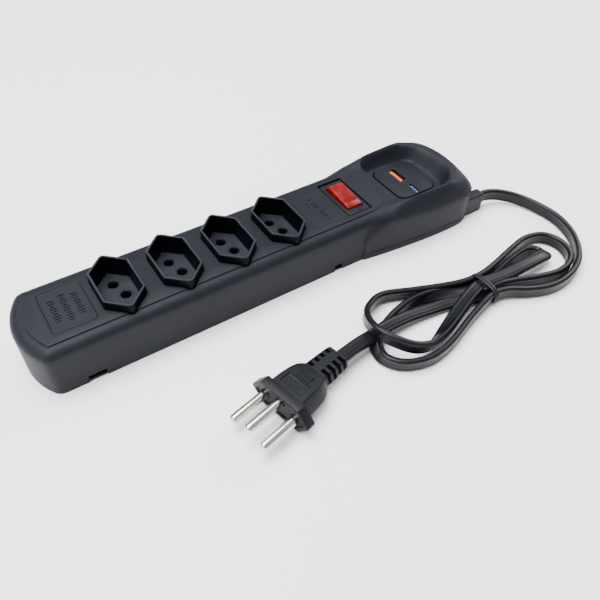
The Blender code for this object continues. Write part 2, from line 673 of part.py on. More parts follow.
def switch_contacts():
    x = SWITCH_X
    pivot = (x, 0.0, BRIDGE_Z)
    width, length, height = BRIDGE_HALF
    bridge = box((x - width, -length, BRIDGE_Z - height), (x + width, length, BRIDGE_Z + height))
    place("contact_bridge", turned(bridge, -BRIDGE_TILT, "X", pivot), "brass", pivot)
    for name, y, top in BLADES:
        place(name, box((x - BLADE_HALF[0], y - BLADE_HALF[1], BLADE_BOTTOM),
                        (x + BLADE_HALF[0], y + BLADE_HALF[1], top)), "brass")
    place("neon_lamp", across(rod(*LAMP_PLACE, LAMP_RADIUS, -LAMP_HALF, LAMP_HALF), x), "lamp_glass")


# ---------------------------------------------------------------- cord outlet and inner wires

def gland_section(x, half, low, high):
    return [(x, GLAND_Y + half, low), (x, GLAND_Y + half - GLAND_TAPER, high),
            (x, GLAND_Y - half + GLAND_TAPER, high), (x, GLAND_Y - half, low)]


def gland_block(xs, half, zs):
    return box((xs[0], GLAND_Y - half, zs[0]), (xs[1], GLAND_Y + half, zs[1]))


def cord_gland():
    """The moulded block round the cord where it leaves the body, with a collar inside the wall."""
    low, high = GLAND_Z
    block = loft([gland_section(GLAND_START, GLAND_HALF, low, high),
                  gland_section(GLAND_END, GLAND_HALF - 0.2, low, high - 0.4)])
    obj = place("cord_gland", block, "cord")
    join(obj, gland_block((GLAND_TAIL, GLAND_START + PAST), GLAND_TAIL_HALF, GLAND_TAIL_Z),
         gland_block(GLAND_COLLAR, GLAND_COLLAR_HALF, GLAND_COLLAR_Z))


def cord_clamp():
    bar = box((CLAMP_X[0], CLAMP_Y[0], CLAMP_Z[0]), (CLAMP_X[1], CLAMP_Y[1], CLAMP_Z[1]))
    obj = place("cord_clamp", bar, "dark_plastic")
    cut(obj, *[rod(x, y, CLAMP_HOLE, CLAMP_Z[0] - PAST, CLAMP_Z[1] + PAST, 8) for x, y in CLAMP_SCREWS])
    for number, (x, y) in enumerate(CLAMP_SCREWS, 1):
        screw = place(f"clamp_screw_{number}", rod(x, y, CLAMP_HEAD_RADIUS, *CLAMP_HEAD_Z, 10), "steel")
        join(screw, rod(x, y, CLAMP_SCREW_RADIUS, CLAMP_SCREW_BOTTOM, CLAMP_HEAD_Z[0] + 0.4, 8))


def wires():
    """The cord's three cores, and the lead from the switch to the live busbar."""
    for name, (finish, route) in WIRE_ROUTES.items():
        tube(name, route, WIRE_RADIUS, finish, 6.0, 0)


# ---------------------------------------------------------------- cord

def cord():
    tube("cord_lead", LEAD_ROUTE, CORD_RADIUS, "cord", CORD_STEP, 2)
    tube("cord_tail", TAIL_ROUTE, CORD_RADIUS, "cord", CORD_STEP, 2)
    outline = smooth(HANK_LEFT_LOW[::-1] + HANK_RIGHT_LOW[::-1], HANK_STEP)
    outline += smooth(HANK_RIGHT[::-1] + HANK_LEFT[::-1], HANK_STEP)
    hank = place("cord_hank", prism(outline, 0.0, HANK_HEIGHT), "cord")
    cut(hank, *tie_grooves())


def tie_grooves():
    """What the tie takes up on the bow: its front, its back, its underside and its top."""
    left, right = TIE_X[0] - GAP, TIE_X[1] + GAP
    near, far = TIE_Y[0] + TIE_THICKNESS + GAP, TIE_Y[1] - TIE_THICKNESS - GAP
    low, high = TIE_THICKNESS + GAP, TIE_TOP - TIE_THICKNESS - GAP
    front, back = TIE_Y[0] - 4 * TIE_THICKNESS, TIE_Y[1] + 4 * TIE_THICKNESS
    return [box((left, front, -PAST), (right, near, TIE_TOP)),
            box((left, far, -PAST), (right, back, TIE_TOP)),
            box((left, front, -PAST), (right, back, low)),
            box((left, front, high), (right, back, TIE_TOP))]


def cord_tie():
    obj = place("cord_tie", box((TIE_X[0], TIE_Y[0], 0.0), (TIE_X[1], TIE_Y[1], TIE_TOP)), "cord")
    cut(obj, box((TIE_X[0] - PAST, TIE_Y[0] + TIE_THICKNESS, TIE_THICKNESS),
                 (TIE_X[1] + PAST, TIE_Y[1] - TIE_THICKNESS, TIE_TOP - TIE_THICKNESS)))


# ---------------------------------------------------------------- plug

def plug_section(x, tip, flat, low, high):
    """A section of the plug with a point at each side, level with the pins."""
    return [(x, tip, PLUG_AXIS_Z), (x, flat, high), (x, -flat, high),
            (x, -tip, PLUG_AXIS_Z), (x, -flat, low), (x, flat, low)]


def relief_notches():
    """Notches in both sides of the strain relief, those of one side shifted from the other's."""
    solids = []
    for number in range(RELIEF_NOTCHES):
        for side in (-1, 1):
            shift = RELIEF_NOTCH_SHIFT if side > 0 else 0.0
            x = RELIEF_NOTCH_X + number * RELIEF_NOTCH_PITCH + shift
            near, far = sorted(side * y for y in RELIEF_NOTCH_Y)
            solids.append(box((x, near, RELIEF_NOTCH_Z[0]), (x + RELIEF_NOTCH_WIDTH, far, RELIEF_NOTCH_Z[1])))
    return solids


def pin_places():
    return [(PIN_PITCH / 2, PLUG_AXIS_Z), (-PIN_PITCH / 2, PLUG_AXIS_Z), (0.0, PLUG_AXIS_Z + EARTH_OFFSET)]


def plug_body():
    flange, grip, relief = (loft([plug_section(*section) for section in sections])
                            for sections in (PLUG_FLANGE, PLUG_GRIP, PLUG_RELIEF))
    obj = place("plug_body", flange, "cord")
    join(obj, grip, relief)
    cut(obj, *relief_notches())
    cut(obj, *[across(rod(y, z, PIN_RADIUS + GAP, -PAST, PIN_ROOT + GAP), 0.0) for y, z in pin_places()])
    return obj


def plug_pins():
    """The three pins, each with a rounded tip."""
    names = ("plug_pin_line", "plug_pin_neutral", "plug_pin_earth")
    pins = []
    for name, (y, z) in zip(names, pin_places()):
        levels = [(circle(y, z, PIN_RADIUS * 0.45), -PIN_LENGTH),
                  (circle(y, z, PIN_RADIUS * 0.85), -PIN_LENGTH + 0.7),
                  (circle(y, z, PIN_RADIUS), -PIN_LENGTH + 1.8), (circle(y, z, PIN_RADIUS), PIN_ROOT)]
        pins.append(place(name, across(stack(levels), 0.0), "nickel"))
    return pins


def plug():
    frame = bpy.data.objects.new("plug_frame", None)
    frame.location = (PLUG_PLACE[0] * MM, PLUG_PLACE[1] * MM, 0.0)
    frame.rotation_euler.z = math.radians(PLUG_TURN)
    bpy.context.scene.collection.objects.link(frame)
    body = plug_body()
    helpers = [modifier.object for modifier in body.modifiers]
    for obj in [body, *helpers, *plug_pins()]:
        obj.parent = frame


# ---------------------------------------------------------------- assembly

def clear_scene():
    for obj in list(bpy.data.objects):
        bpy.data.objects.remove(obj, do_unlink=True)


def main():
    clear_scene()
    top_housing()
    base_cover()
    housing_screws()
    for number, x in enumerate(OUTLET_XS, 1):
        outlet_insert(f"outlet_insert_{number}", x)
    busbar("live_busbar", PIN_PITCH / 2, 0.0)
    busbar("neutral_busbar", -PIN_PITCH / 2, 0.0)
    busbar("earth_busbar", 0.0, EARTH_OFFSET)
    usb_ports()
    usb_charger_board()
    switch_housing()
    rocker()
    switch_contacts()
    cord_gland()
    cord_clamp()
    wires()
    cord()
    cord_tie()
    plug()


main()
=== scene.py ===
"""The power strip's finished look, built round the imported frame.

Everything is drawn in millimetres in the frame's own axes and scaled to metres as it is made.
"""

import math

import bmesh
import bpy
from mathutils import Matrix, Vector
from mathutils.kdtree import KDTree


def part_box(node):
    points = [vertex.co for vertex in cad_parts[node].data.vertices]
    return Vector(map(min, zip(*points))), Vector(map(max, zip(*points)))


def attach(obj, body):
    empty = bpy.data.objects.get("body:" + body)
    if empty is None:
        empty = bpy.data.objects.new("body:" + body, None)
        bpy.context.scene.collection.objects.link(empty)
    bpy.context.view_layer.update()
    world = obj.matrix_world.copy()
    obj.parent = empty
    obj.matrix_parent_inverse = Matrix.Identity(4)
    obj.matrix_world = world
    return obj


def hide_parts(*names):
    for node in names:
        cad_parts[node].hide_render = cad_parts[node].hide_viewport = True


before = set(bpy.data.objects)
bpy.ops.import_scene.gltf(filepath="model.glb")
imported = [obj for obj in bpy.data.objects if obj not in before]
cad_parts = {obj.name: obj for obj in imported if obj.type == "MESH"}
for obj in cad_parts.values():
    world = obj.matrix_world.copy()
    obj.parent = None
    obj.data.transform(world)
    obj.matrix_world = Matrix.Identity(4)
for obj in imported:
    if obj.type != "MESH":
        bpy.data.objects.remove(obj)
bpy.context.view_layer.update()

MM = 0.001


def millimetres(node):
    """A CAD node's lowest and highest corners, in millimetres."""
    low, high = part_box(node)
    return low / MM, high / MM


def middle_x(node):
    low, high = millimetres(node)
    return (low.x + high.x) / 2


# ---------------------------------------------------------------- places read from the frame

BODY_END = millimetres("top_housing")[1].x
OUTLET_XS = {name: middle_x(name) for name in (f"outlet_insert_{number}" for number in range(1, 5))}
PLATE_LOW, PLATE_HIGH = millimetres("usb_faceplate")
BASIN_FLOOR = PLATE_HIGH.z
SWITCH_LOW, SWITCH_HIGH = millimetres("switch_housing")
SWITCH_X = middle_x("switch_housing")
DECK = SWITCH_HIGH.z

# ---------------------------------------------------------------- driving dimensions

# Body: its narrow part's half width, where its wide end starts and is full, and the rounds of its left end
NARROW_HALF = 23.9
WIDE_START = 50.5
WIDE_FULL = 112.0
END_RADIUS = 38.0
CORNER_RADIUS = 6.0
WALL = 2.0
GAP = 0.3

# Top: the round between walls and deck, the deck plate's height over the band round it, and the basin's rim
SHOULDER_FOOT = 22.7
SHOULDER_DROP = 1.7
SHOULDER_WIDTH = 5.4
SHOULDER_HEIGHT = 5.6
DECK_STEP = 0.7
RIM_HEIGHT = 2.7
RIM_DROP = 1.4

# Base: the top of its tray, its pry notches from left to right, and the cable's way out
TRAY_TOP = 4.3
PRY_NOTCHES = ((-109.8, -100.8), (31.5, 36.5))
PRY_DEPTH = 2.6
GLAND_Y = -23.1
GLAND_HALF = 3.4

# Screw posts: x, y and the height of the top, and the radii of the post and of its hole
POST_RADIUS = 3.2
POST_HOLE = 1.7
POSTS = [(-65.95, 16.5, 27.0), (-65.95, -16.5, 27.0), (-5.75, 16.5, 27.0), (-5.75, -16.5, 27.0),
         (70.0, -22.4, 24.0), (118.0, 20.0, 20.8)]

# Outlets: half width, and how far along Y the corners and the two points are
COLLAR_HALF = 10.5
COLLAR_CORNER = 10.9
COLLAR_TIP = 20.6
RECESS_FLOOR = 21.5
PIN_PITCH = 19.0
EARTH_OFFSET = 3.0
PIN_HOLE = 2.6

# Cord: flat, with three cores side by side; its length is in metres, and the lift rests it on the floor
CORD_WIDTH = 7.6
CORD_THICKNESS = 3.4
CORD_EDGE = 1.35
CORD_LIFT = 0.45
CORD_STEP = 1.3

# Each point of the cord's route is x, y, z and the turn of its width from level, in degrees
CORD_ROUTE = [
    # out of the gland, on edge, and round to the tie
    (139.5, -23.1, 7.2, 90), (147.0, -23.8, 7.1, 90), (155.5, -27.6, 6.0, 90), (163.2, -35.2, 4.6, 90),
    (168.4, -47.0, 3.8, 90), (170.0, -61.0, 3.6, 90), (165.9, -75.5, 3.6, 90), (156.8, -88.0, 3.6, 90),
    (146.5, -95.5, 3.6, 90), (133.8, -99.5, 3.6, 90), (120.5, -99.4, 3.6, 90), (108.5, -95.0, 3.8, 90),
    (98.0, -89.6, 4.6, 90), (89.0, -87.9, 4.9, 90),
    # the lower left loop, which leans where the tail lies on it
    (80.0, -89.6, 4.6, 90), (67.7, -93.1, 3.8, 90), (47.6, -100.0, 3.6, 90), (32.9, -101.8, 3.6, 90),
    (20.7, -97.7, 3.6, 90), (14.8, -90.4, 3.6, 95), (15.2, -83.6, 3.2, 125), (18.2, -77.6, 2.8, 148),
    (23.5, -73.6, 2.9, 138), (31.0, -70.4, 3.4, 110), (45.5, -67.6, 3.6, 88), (58.0, -68.3, 3.5, 62),
    (69.0, -71.6, 3.0, 28), (79.0, -75.8, 2.9, 6), (89.0, -78.9, 3.1, 0),
    # the bight: out on the floor, folded over at its end, and back on top
    (97.5, -78.6, 3.0, 12), (106.0, -76.8, 3.3, 40), (116.0, -74.2, 3.7, 62), (127.0, -72.2, 3.8, 76),
    (133.6, -72.4, 3.9, 92), (137.9, -76.2, 4.6, 125), (136.9, -80.6, 6.2, 158), (130.5, -81.7, 7.6, 174),
    (118.0, -81.8, 7.7, 180), (105.0, -81.2, 7.1, 180), (96.0, -79.8, 6.7, 180), (89.0, -79.0, 6.6, 180),
    # the upper left loop, which passes over the tail
    (81.0, -80.8, 6.9, 184), (68.0, -85.4, 6.2, 192), (55.0, -90.6, 5.2, 205), (46.0, -94.0, 5.0, 228),
    (38.0, -96.2, 5.8, 256), (29.4, -95.2, 8.6, 268), (22.0, -89.9, 11.6, 270), (17.6, -82.4, 12.9, 270),
    (17.0, -74.6, 12.0, 270), (20.2, -66.8, 9.4, 270), (26.9, -60.6, 6.6, 270), (38.7, -56.8, 4.4, 270),
    (56.6, -63.0, 3.6, 270), (70.1, -68.5, 3.9, 270), (80.0, -72.2, 4.6, 270), (89.0, -73.6, 4.9, 270),
    # the inner right loop
    (98.0, -73.0, 4.6, 270), (111.0, -70.0, 3.8, 270), (126.1, -66.4, 3.6, 270), (138.5, -64.6, 3.6, 270),
    (149.3, -68.0, 3.6, 270), (153.6, -77.0, 3.6, 270), (150.4, -87.2, 3.6, 270), (142.3, -92.7, 3.6, 270),
    (132.1, -93.8, 3.6, 270), (120.9, -91.2, 3.6, 270), (108.5, -87.0, 4.0, 272), (98.0, -84.6, 4.7, 278),
    (89.0, -84.2, 4.6, 292),
    # the tail, flat, into the plug
    (79.0, -81.6, 2.6, 345), (68.0, -77.8, 1.9, 360), (56.0, -75.9, 2.2, 360), (42.0, -74.9, 4.0, 360),
    (28.6, -75.6, 6.1, 360), (17.0, -77.2, 7.4, 360), (6.0, -78.4, 8.0, 360), (-6.0, -80.4, 8.2, 360),
]

# Plug: its own frame has the pins' root plane at x = 0 and the cord towards +X
PLUG_PLACE = (-44.5, -87.9)
PLUG_TURN = 13.0
PLUG_AXIS_Z = 8.2
PIN_RADIUS = 2.4
PIN_LENGTH = 20.0
PIN_DOME = 1.5
PIN_ROOT = 5.0

# The plug's flange: half widths at its middle and its faces, and its lowest and highest z
FLANGE = (18.0, 11.5, 0.1, 16.3)


# ---------------------------------------------------------------- outlines and curves

def offset(outline, distance):
    """The outline (counter-clockwise) moved outwards by a distance."""
    moved = []
    for i, point in enumerate(outline):
        here = Vector(point)
        before = (here - Vector(outline[i - 1])).normalized()
        after = (Vector(outline[(i + 1) % len(outline)]) - here).normalized()
        first = Vector((before.y, -before.x))
        second = Vector((after.y, -after.x))
        moved.append(tuple(here + (first + second) * (distance / (1.0 + first.dot(second)))))
    return moved


def rounded(corners, radii, steps=5):
    """A counter-clockwise polygon with its corners rounded, by one radius or by each corner's own."""
    points = []
    for i, corner in enumerate(corners):
        here = Vector(corner)
        back = (Vector(corners[i - 1]) - here).normalized()
        on = (Vector(corners[(i + 1) % len(corners)]) - here).normalized()
        half = math.acos(max(-1.0, min(1.0, back.dot(on)))) / 2
        radius = radii[i] if hasattr(radii, "__len__") else radii
        centre = here + (back + on).normalized() * (radius / math.sin(half))
        start = here + back * (radius / math.tan(half)) - centre
        sweep = math.pi - 2 * half
        for k in range(steps + 1):
            turn = Matrix.Rotation(sweep * k / steps, 2)
            points.append(tuple(centre + turn @ start))
    return points


def rectangle(x0, y0, x1, y1):
    return [(x1, y1), (x0, y1), (x0, y0), (x1, y0)]


def circle(x, y, radius, sides=32):
    turns = [2 * math.pi * i / sides for i in range(sides)]
    return [(x + radius * math.cos(a), y + radius * math.sin(a)) for a in turns]


def smooth(route, step):
    """Points about every step along a Catmull-Rom curve through the route, of any dimension."""
    knots = [Vector(p) for p in route]
    knots = [2 * knots[0] - knots[1]] + knots + [2 * knots[-1] - knots[-2]]
    points = []
    for a, b, c, d in zip(knots, knots[1:], knots[2:], knots[3:]):
        pieces = max(1, round((c.to_3d() - b.to_3d()).length / step))
        for i in range(pieces):
            t = i / pieces
            points.append(0.5 * (2 * b + (c - a) * t + (2 * a - 5 * b + 4 * c - d) * t ** 2
                                 + (3 * b - a - 3 * c + d) * t ** 3))
    return points + [knots[-2]]


def ease(value, low, high):
    """0 up to low, 1 from high, and a smooth rise between them."""
    t = max(0.0, min(1.0, (value - low) / (high - low)))
    return t * t * (3 - 2 * t)


# ---------------------------------------------------------------- solids

def loft(rings, capped=True):
    """A solid skinned over rings of equal length."""
    bm = bmesh.new()
    loops = [[bm.verts.new(p) for p in ring] for ring in rings]
    for low, high in zip(loops, loops[1:]):
        for i in range(len(low)):
            j = (i + 1) % len(low)
            bm.faces.new((low[i], low[j], high[j], high[i]))
    if capped:
        bm.faces.new(list(reversed(loops[0])))
        bm.faces.new(loops[-1])
    bmesh.ops.recalc_face_normals(bm, faces=bm.faces)
    return bm


def stack(levels):
    """A solid from (outline, z) levels."""
    return loft([[(x, y, z) for x, y in outline] for outline, z in levels])


def prism(outline, low, high):
    return stack([(outline, low), (outline, high)])


def softened(outline, low, high, edge):
    """A prism whose top and bottom edges are rounded by edge."""
    angles = [math.radians(30 * i) for i in range(4)]
    bottom = [(offset(outline, -edge * (1 - math.sin(a))), low + edge * (1 - math.cos(a))) for a in angles]
    top = [(offset(outline, -edge * (1 - math.cos(a))), high - edge * (1 - math.sin(a))) for a in angles]
    return stack(bottom + top)


def rod(x, y, radius, low, high):
    return prism(circle(x, y, radius), low, high)


def box(x0, y0, z0, x1, y1, z1):
    return prism(rectangle(x0, y0, x1, y1), z0, z1)


def across(bm, x=0.0):
    """A solid drawn in X and Y and raised in Z, laid so that it is drawn in Y and Z instead."""
    matrix = Matrix(((0, 0, 1, x), (1, 0, 0, 0), (0, 1, 0, 0), (0, 0, 0, 1)))
    bmesh.ops.transform(bm, matrix=matrix, verts=bm.verts)
    return bm


def together(*solids):
    """Several solids in one mesh."""
    whole = bmesh.new()
    for bm in solids:
        mesh = bpy.data.meshes.new("part")
        bm.to_mesh(mesh)
        bm.free()
        whole.from_mesh(mesh)
        bpy.data.meshes.remove(mesh)
    return whole


def round_section(centre, side, up, radius):
    turns = [2 * math.pi * k / 8 for k in range(8)]
    return [centre + radius * (math.cos(a) * side + math.sin(a) * up) for a in turns]


def tube(points, radius):
    """A round tube along 3-D points, for cutting grooves."""
    rings = []
    for i, point in enumerate(points):
        here = Vector(point)
        ahead = Vector(points[min(i + 1, len(points) - 1)])
        behind = Vector(points[max(i - 1, 0)])
        along = (ahead - behind).normalized()
        side = Vector((0, 0, 1)).cross(along).normalized()
        rings.append(round_section(here, side, along.cross(side), radius))
    return loft(rings)


def ring_groove(outline, z, radius):
    """A closed tube along a flat outline."""
    size = len(outline)
    up = Vector((0, 0, 1))
    rings = []
    for i in range(size):
        here = Vector((*outline[i], z))
        along = (Vector((*outline[(i + 1) % size], z)) - Vector((*outline[i - 1], z))).normalized()
        rings.append(round_section(here, up.cross(along), up, radius))
    bm = loft(rings + rings[:1], capped=False)
    bmesh.ops.remove_doubles(bm, verts=bm.verts, dist=1e-5)
    bmesh.ops.recalc_face_normals(bm, faces=bm.faces)
    return bm


# ---------------------------------------------------------------- pieces

def raw(name, bm):
    bmesh.ops.scale(bm, vec=(MM, MM, MM), verts=bm.verts)
    mesh = bpy.data.meshes.new(name)
    bm.to_mesh(mesh)
    bm.free()
    obj = bpy.data.objects.new(name, mesh)
    bpy.context.scene.collection.objects.link(obj)
    return obj


def boolean(obj, operation, *solids):
    """Cuts the solids, which mustn't touch each other, from the object, or joins them to it."""
    tool = raw("tool", together(*solids))
    modifier = obj.modifiers.new("boolean", "BOOLEAN")
    modifier.operation = operation
    modifier.object = tool
    graph = bpy.context.evaluated_depsgraph_get()
    mesh = bpy.data.meshes.new_from_object(obj.evaluated_get(graph))
    obj.modifiers.remove(modifier)
    obj.data = mesh
    bpy.data.objects.remove(tool)


def cut(obj, *solids):
    boolean(obj, "DIFFERENCE", *solids)


def join(obj, *solids):
    boolean(obj, "UNION", *solids)


def dress(obj, material, body, replaces, angle=32):
    """Gives a finished mesh its material, shading and body, and hides the nodes that it stands for."""
    obj.data.materials.clear()
    obj.data.materials.append(material)
    obj.data.shade_smooth()
    obj.data.set_sharp_from_angle(angle=math.radians(angle))
    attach(obj, body)
    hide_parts(*replaces)
    return obj


def paint(obj, material, inside):
    """Gives another material to the faces whose centre, in millimetres, passes a test."""
    obj.data.materials.append(material)
    for face in obj.data.polygons:
        if inside(face.center / MM):
            face.material_index = len(obj.data.materials) - 1


# ---------------------------------------------------------------- materials

SPECULAR = 0.17


class Nodes:
    """A material's node tree, with the shader and a coordinate in metres at hand."""

    def __init__(self, name, color, roughness, metallic=0.0, specular=SPECULAR):
        self.material = bpy.data.materials.new(name)
        self.material.use_nodes = True
        self.tree = self.material.node_tree
        self.shader = self.tree.nodes["Principled BSDF"]
        self.shader.inputs["Base Color"].default_value = (*color, 1.0)
        self.shader.inputs["Roughness"].default_value = roughness
        self.shader.inputs["Metallic"].default_value = metallic
        self.shader.inputs["Specular IOR Level"].default_value = specular
        self.place = self.tree.nodes.new("ShaderNodeTexCoord").outputs["Object"]

    def noise(self, scale, detail=2.0):
        node = self.tree.nodes.new("ShaderNodeTexNoise")
        node.inputs["Scale"].default_value = scale
        node.inputs["Detail"].default_value = detail
        self.tree.links.new(self.place, node.inputs["Vector"])
        return node.outputs["Fac"]

    def spread(self, value, low, high):
        """A noise's middle range, spread between two values."""
        node = self.tree.nodes.new("ShaderNodeMapRange")
        node.inputs["From Min"].default_value = 0.3
        node.inputs["From Max"].default_value = 0.7
        node.inputs["To Min"].default_value = low
        node.inputs["To Max"].default_value = high
        self.tree.links.new(value, node.inputs["Value"])
        return node.outputs["Result"]

    def colors(self, value, low, high):
        """Drifts the colour between two, with a noise."""
        node = self.tree.nodes.new("ShaderNodeValToRGB")
        node.color_ramp.elements[0].position = 0.3
        node.color_ramp.elements[0].color = (*low, 1.0)
        node.color_ramp.elements[1].position = 0.7
        node.color_ramp.elements[1].color = (*high, 1.0)
        self.tree.links.new(value, node.inputs["Fac"])
        self.tree.links.new(node.outputs["Color"], self.shader.inputs["Base Color"])

    def roughness(self, value, low, high):
        self.tree.links.new(self.spread(value, low, high), self.shader.inputs["Roughness"])

    def bump(self, value, strength, height):
        """Adds relief of a height, in millimetres."""
        node = self.tree.nodes.new("ShaderNodeBump")
        node.inputs["Strength"].default_value = strength
        node.inputs["Distance"].default_value = height * MM
        self.tree.links.new(value, node.inputs["Height"])
        self.tree.links.new(node.outputs["Normal"], self.shader.inputs["Normal"])


def shade(color, factor):
    return tuple(c * factor for c in color)


def plastic(name, color, roughness, grain=0.05, cell=2600.0, mottle=0.10, specular=SPECULAR):
    """Moulded plastic: a fine eroded grain, with slight drifts of colour and gloss."""
    made = Nodes(name, color, roughness, 0.0, specular)
    made.colors(made.noise(55.0, 3.0), shade(color, 1 - mottle), shade(color, 1 + mottle))
    fine = made.noise(cell, 3.0)
    made.roughness(fine, roughness - 0.06, roughness + 0.06)
    made.bump(fine, 0.9, grain)
    return made.material


def metal(name, color, roughness):
    """Drawn or plated metal, with fine marks."""
    made = Nodes(name, color, roughness, 1.0)
    made.colors(made.noise(120.0), shade(color, 0.9), color)
    fine = made.noise(1500.0)
    made.roughness(fine, roughness - 0.05, roughness + 0.07)
    made.bump(fine, 0.25, 0.01)
    return made.material


def red_lens():
    """Tinted translucent plastic, a little cloudy."""
    made = Nodes("red_lens", (0.17, 0.0025, 0.002), 0.32)
    made.colors(made.noise(260.0, 2.0), (0.10, 0.0012, 0.0012), (0.18, 0.004, 0.0035))
    made.shader.inputs["Subsurface Weight"].default_value = 0.1
    made.shader.inputs["Subsurface Radius"].default_value = (1.0, 0.12, 0.08)
    made.shader.inputs["Subsurface Scale"].default_value = 1.5 * MM
    made.shader.inputs["Coat Weight"].default_value = 0.15
    made.shader.inputs["Coat Roughness"].default_value = 0.1
    fine = made.noise(1400.0, 2.0)
    made.roughness(fine, 0.26, 0.40)
    made.bump(fine, 0.3, 0.01)
    return made.material


def jacket():
    """Extruded PVC: faint lines along it and a soft shine."""
    made = Nodes("cord_jacket", (0.0022, 0.0026, 0.0042), 0.34)
    made.colors(made.noise(90.0, 3.0), (0.0018, 0.0022, 0.0036), (0.0026, 0.0031, 0.0050))
    made.shader.inputs["Coat Weight"].default_value = 0.10
    made.shader.inputs["Coat Roughness"].default_value = 0.25
    fine = made.noise(900.0, 3.0)
    made.roughness(fine, 0.30, 0.46)
    made.bump(fine, 0.35, 0.02)
    return made.material


HOUSING = plastic("housing_plastic", (0.0060, 0.0070, 0.0108), 0.54)
COLLAR = plastic("collar_plastic", (0.0011, 0.0013, 0.0022), 0.36, 0.02, specular=0.06)
# Painted highlight: a lighter plastic for the tops of the collar rims, standing for the light that their
# edges catch.
COLLAR_RIM_HIGHLIGHT = plastic("collar_rim_painted_highlight", (0.016, 0.018, 0.024), 0.40, 0.02)
RECESS = plastic("recess_plastic", (0.012, 0.0138, 0.0200), 0.50)
PLUG = plastic("plug_plastic", (0.0036, 0.0042, 0.0068), 0.46, 0.04, 1800.0)
CORD = jacket()
# Painted shade: a dark matt plastic for the USB shells' inner walls, standing for the shade inside the
# ports.
PORT_SHADE = plastic("port_painted_shade", (0.008, 0.008, 0.009), 0.6, 0.01)
TIE = plastic("tie_plastic", (0.012, 0.012, 0.015), 0.30, 0.01)
RED = red_lens()
ORANGE = plastic("orange_plastic", (0.62, 0.075, 0.008), 0.40, 0.01)
BLUE = plastic("blue_plastic", (0.05, 0.13, 0.30), 0.40, 0.01)
NICKEL = metal("nickel", (0.70, 0.67, 0.62), 0.14)
BRASS = metal("brass", (0.80, 0.58, 0.25), 0.28)
PORT = metal("port_shell", (0.30, 0.29, 0.28), 0.30)
# Painted shade: the busbars' bronze is darkened far below real metal, standing for the shade they lie in
# inside the body.
SHADED_CONTACT = metal("contact_bronze_painted_shade", (0.05, 0.035, 0.018), 0.4)
STEEL = metal("steel", (0.55, 0.55, 0.56), 0.34)
BOARD = plastic("circuit_board", (0.03, 0.18, 0.08), 0.42, 0.01, 1200.0, 0.2)
FERRITE = plastic("ferrite", (0.72, 0.58, 0.12), 0.55, 0.03)
LAMP = plastic("lamp_glass", (0.90, 0.62, 0.50), 0.12, 0.005)
WIRE_RED = plastic("wire_red", (0.50, 0.03, 0.03), 0.42, 0.01)
WIRE_BLUE = plastic("wire_blue", (0.04, 0.14, 0.45), 0.42, 0.01)
WIRE_GREEN = plastic("wire_green", (0.05, 0.35, 0.10), 0.42, 0.01)


# ---------------------------------------------------------------- camera, floor and light

CAMERA_PLACE = (-0.12495, -0.22037, 0.24284)
CAMERA_AZIMUTH = -34.208
CAMERA_ELEVATION = 46.794
CAMERA_ROLL = 1.607
CAMERA_LENS = 37.32


def camera():
    """The camera looks back along the direction of its azimuth and elevation, turned by its roll."""
    azimuth, elevation, roll = (math.radians(v) for v in (CAMERA_AZIMUTH, CAMERA_ELEVATION, CAMERA_ROLL))
    back = Vector((math.sin(azimuth) * math.cos(elevation), -math.cos(azimuth) * math.cos(elevation),
                   math.sin(elevation)))
    right = Vector((math.cos(azimuth), math.sin(azimuth), 0.0))
    up = back.cross(right)
    tilted_right = right * math.cos(roll) + up * math.sin(roll)
    tilted_up = up * math.cos(roll) - right * math.sin(roll)
    turn = Matrix((tilted_right, tilted_up, back)).transposed().to_4x4()
    data = bpy.data.cameras.new("camera")
    data.lens = CAMERA_LENS
    data.sensor_width = 36.0
    data.clip_start = 0.01
    data.clip_end = 20.0
    obj = bpy.data.objects.new("camera", data)
    obj.matrix_world = Matrix.Translation(CAMERA_PLACE) @ turn
    bpy.context.scene.collection.objects.link(obj)
    bpy.context.scene.camera = obj


def floor():
    """A plain pale slab, just under the object."""
    size = 4000.0
    obj = raw("floor", prism(rectangle(-size, -size, size, size), -10.0, -0.1))
    made = Nodes("floor", (0.93, 0.93, 0.94), 0.8)
    made.colors(made.noise(3.0), (0.92, 0.92, 0.93), (0.94, 0.94, 0.95))
    obj.data.materials.append(made.material)


def area_light(name, place, target, size, power):
    data = bpy.data.lights.new(name, "AREA")
    data.shape = "RECTANGLE"
    data.size, data.size_y = size
    data.energy = power
    obj = bpy.data.objects.new(name, data)
    obj.location = place
    obj.rotation_euler = (Vector(target) - Vector(place)).to_track_quat("-Z", "Y").to_euler()
    bpy.context.scene.collection.objects.link(obj)


def lights():
    world = bpy.data.worlds.new("studio")
    bpy.context.scene.world = world
    world.use_nodes = True
    background = world.node_tree.nodes["Background"]
    background.inputs["Color"].default_value = (0.95, 0.97, 1.0, 1.0)
    background.inputs["Strength"].default_value = 0.6
    area_light("key", (-0.25, 0.15, 1.25), (0.02, -0.03, 0.0), (1.2, 0.9), 50.0)
    area_light("fill", (-1.0, -0.2, 0.7), (0.02, -0.05, 0.0), (0.5, 0.9), 7.0)
    area_light("side", (0.9, 0.2, 0.7), (0.08, -0.03, 0.0), (0.4, 0.9), 8.0)


# ---------------------------------------------------------------- cord

def cord_section():
    """The flat cord's section: rounded edges, and faces that dip a little between two fine ridges."""
    half_width, half_thickness = CORD_WIDTH / 2, CORD_THICKNESS / 2
    corners = rectangle(-half_width, -half_thickness, half_width, half_thickness)
    points = []
    for w, t in rounded(corners, CORD_EDGE, 7):
        points.append((w, t))
        if abs(abs(t) - half_thickness) < 1e-6 and w * t > 0:
            side = math.copysign(1.0, w)
            rows = ((2.1, 0.0), (1.85, 0.16), (1.0, 0.12), (-1.0, 0.12), (-1.85, 0.16), (-2.1, 0.0))
            points += [(side * at, math.copysign(half_thickness - dip, t)) for at, dip in rows]
    return points


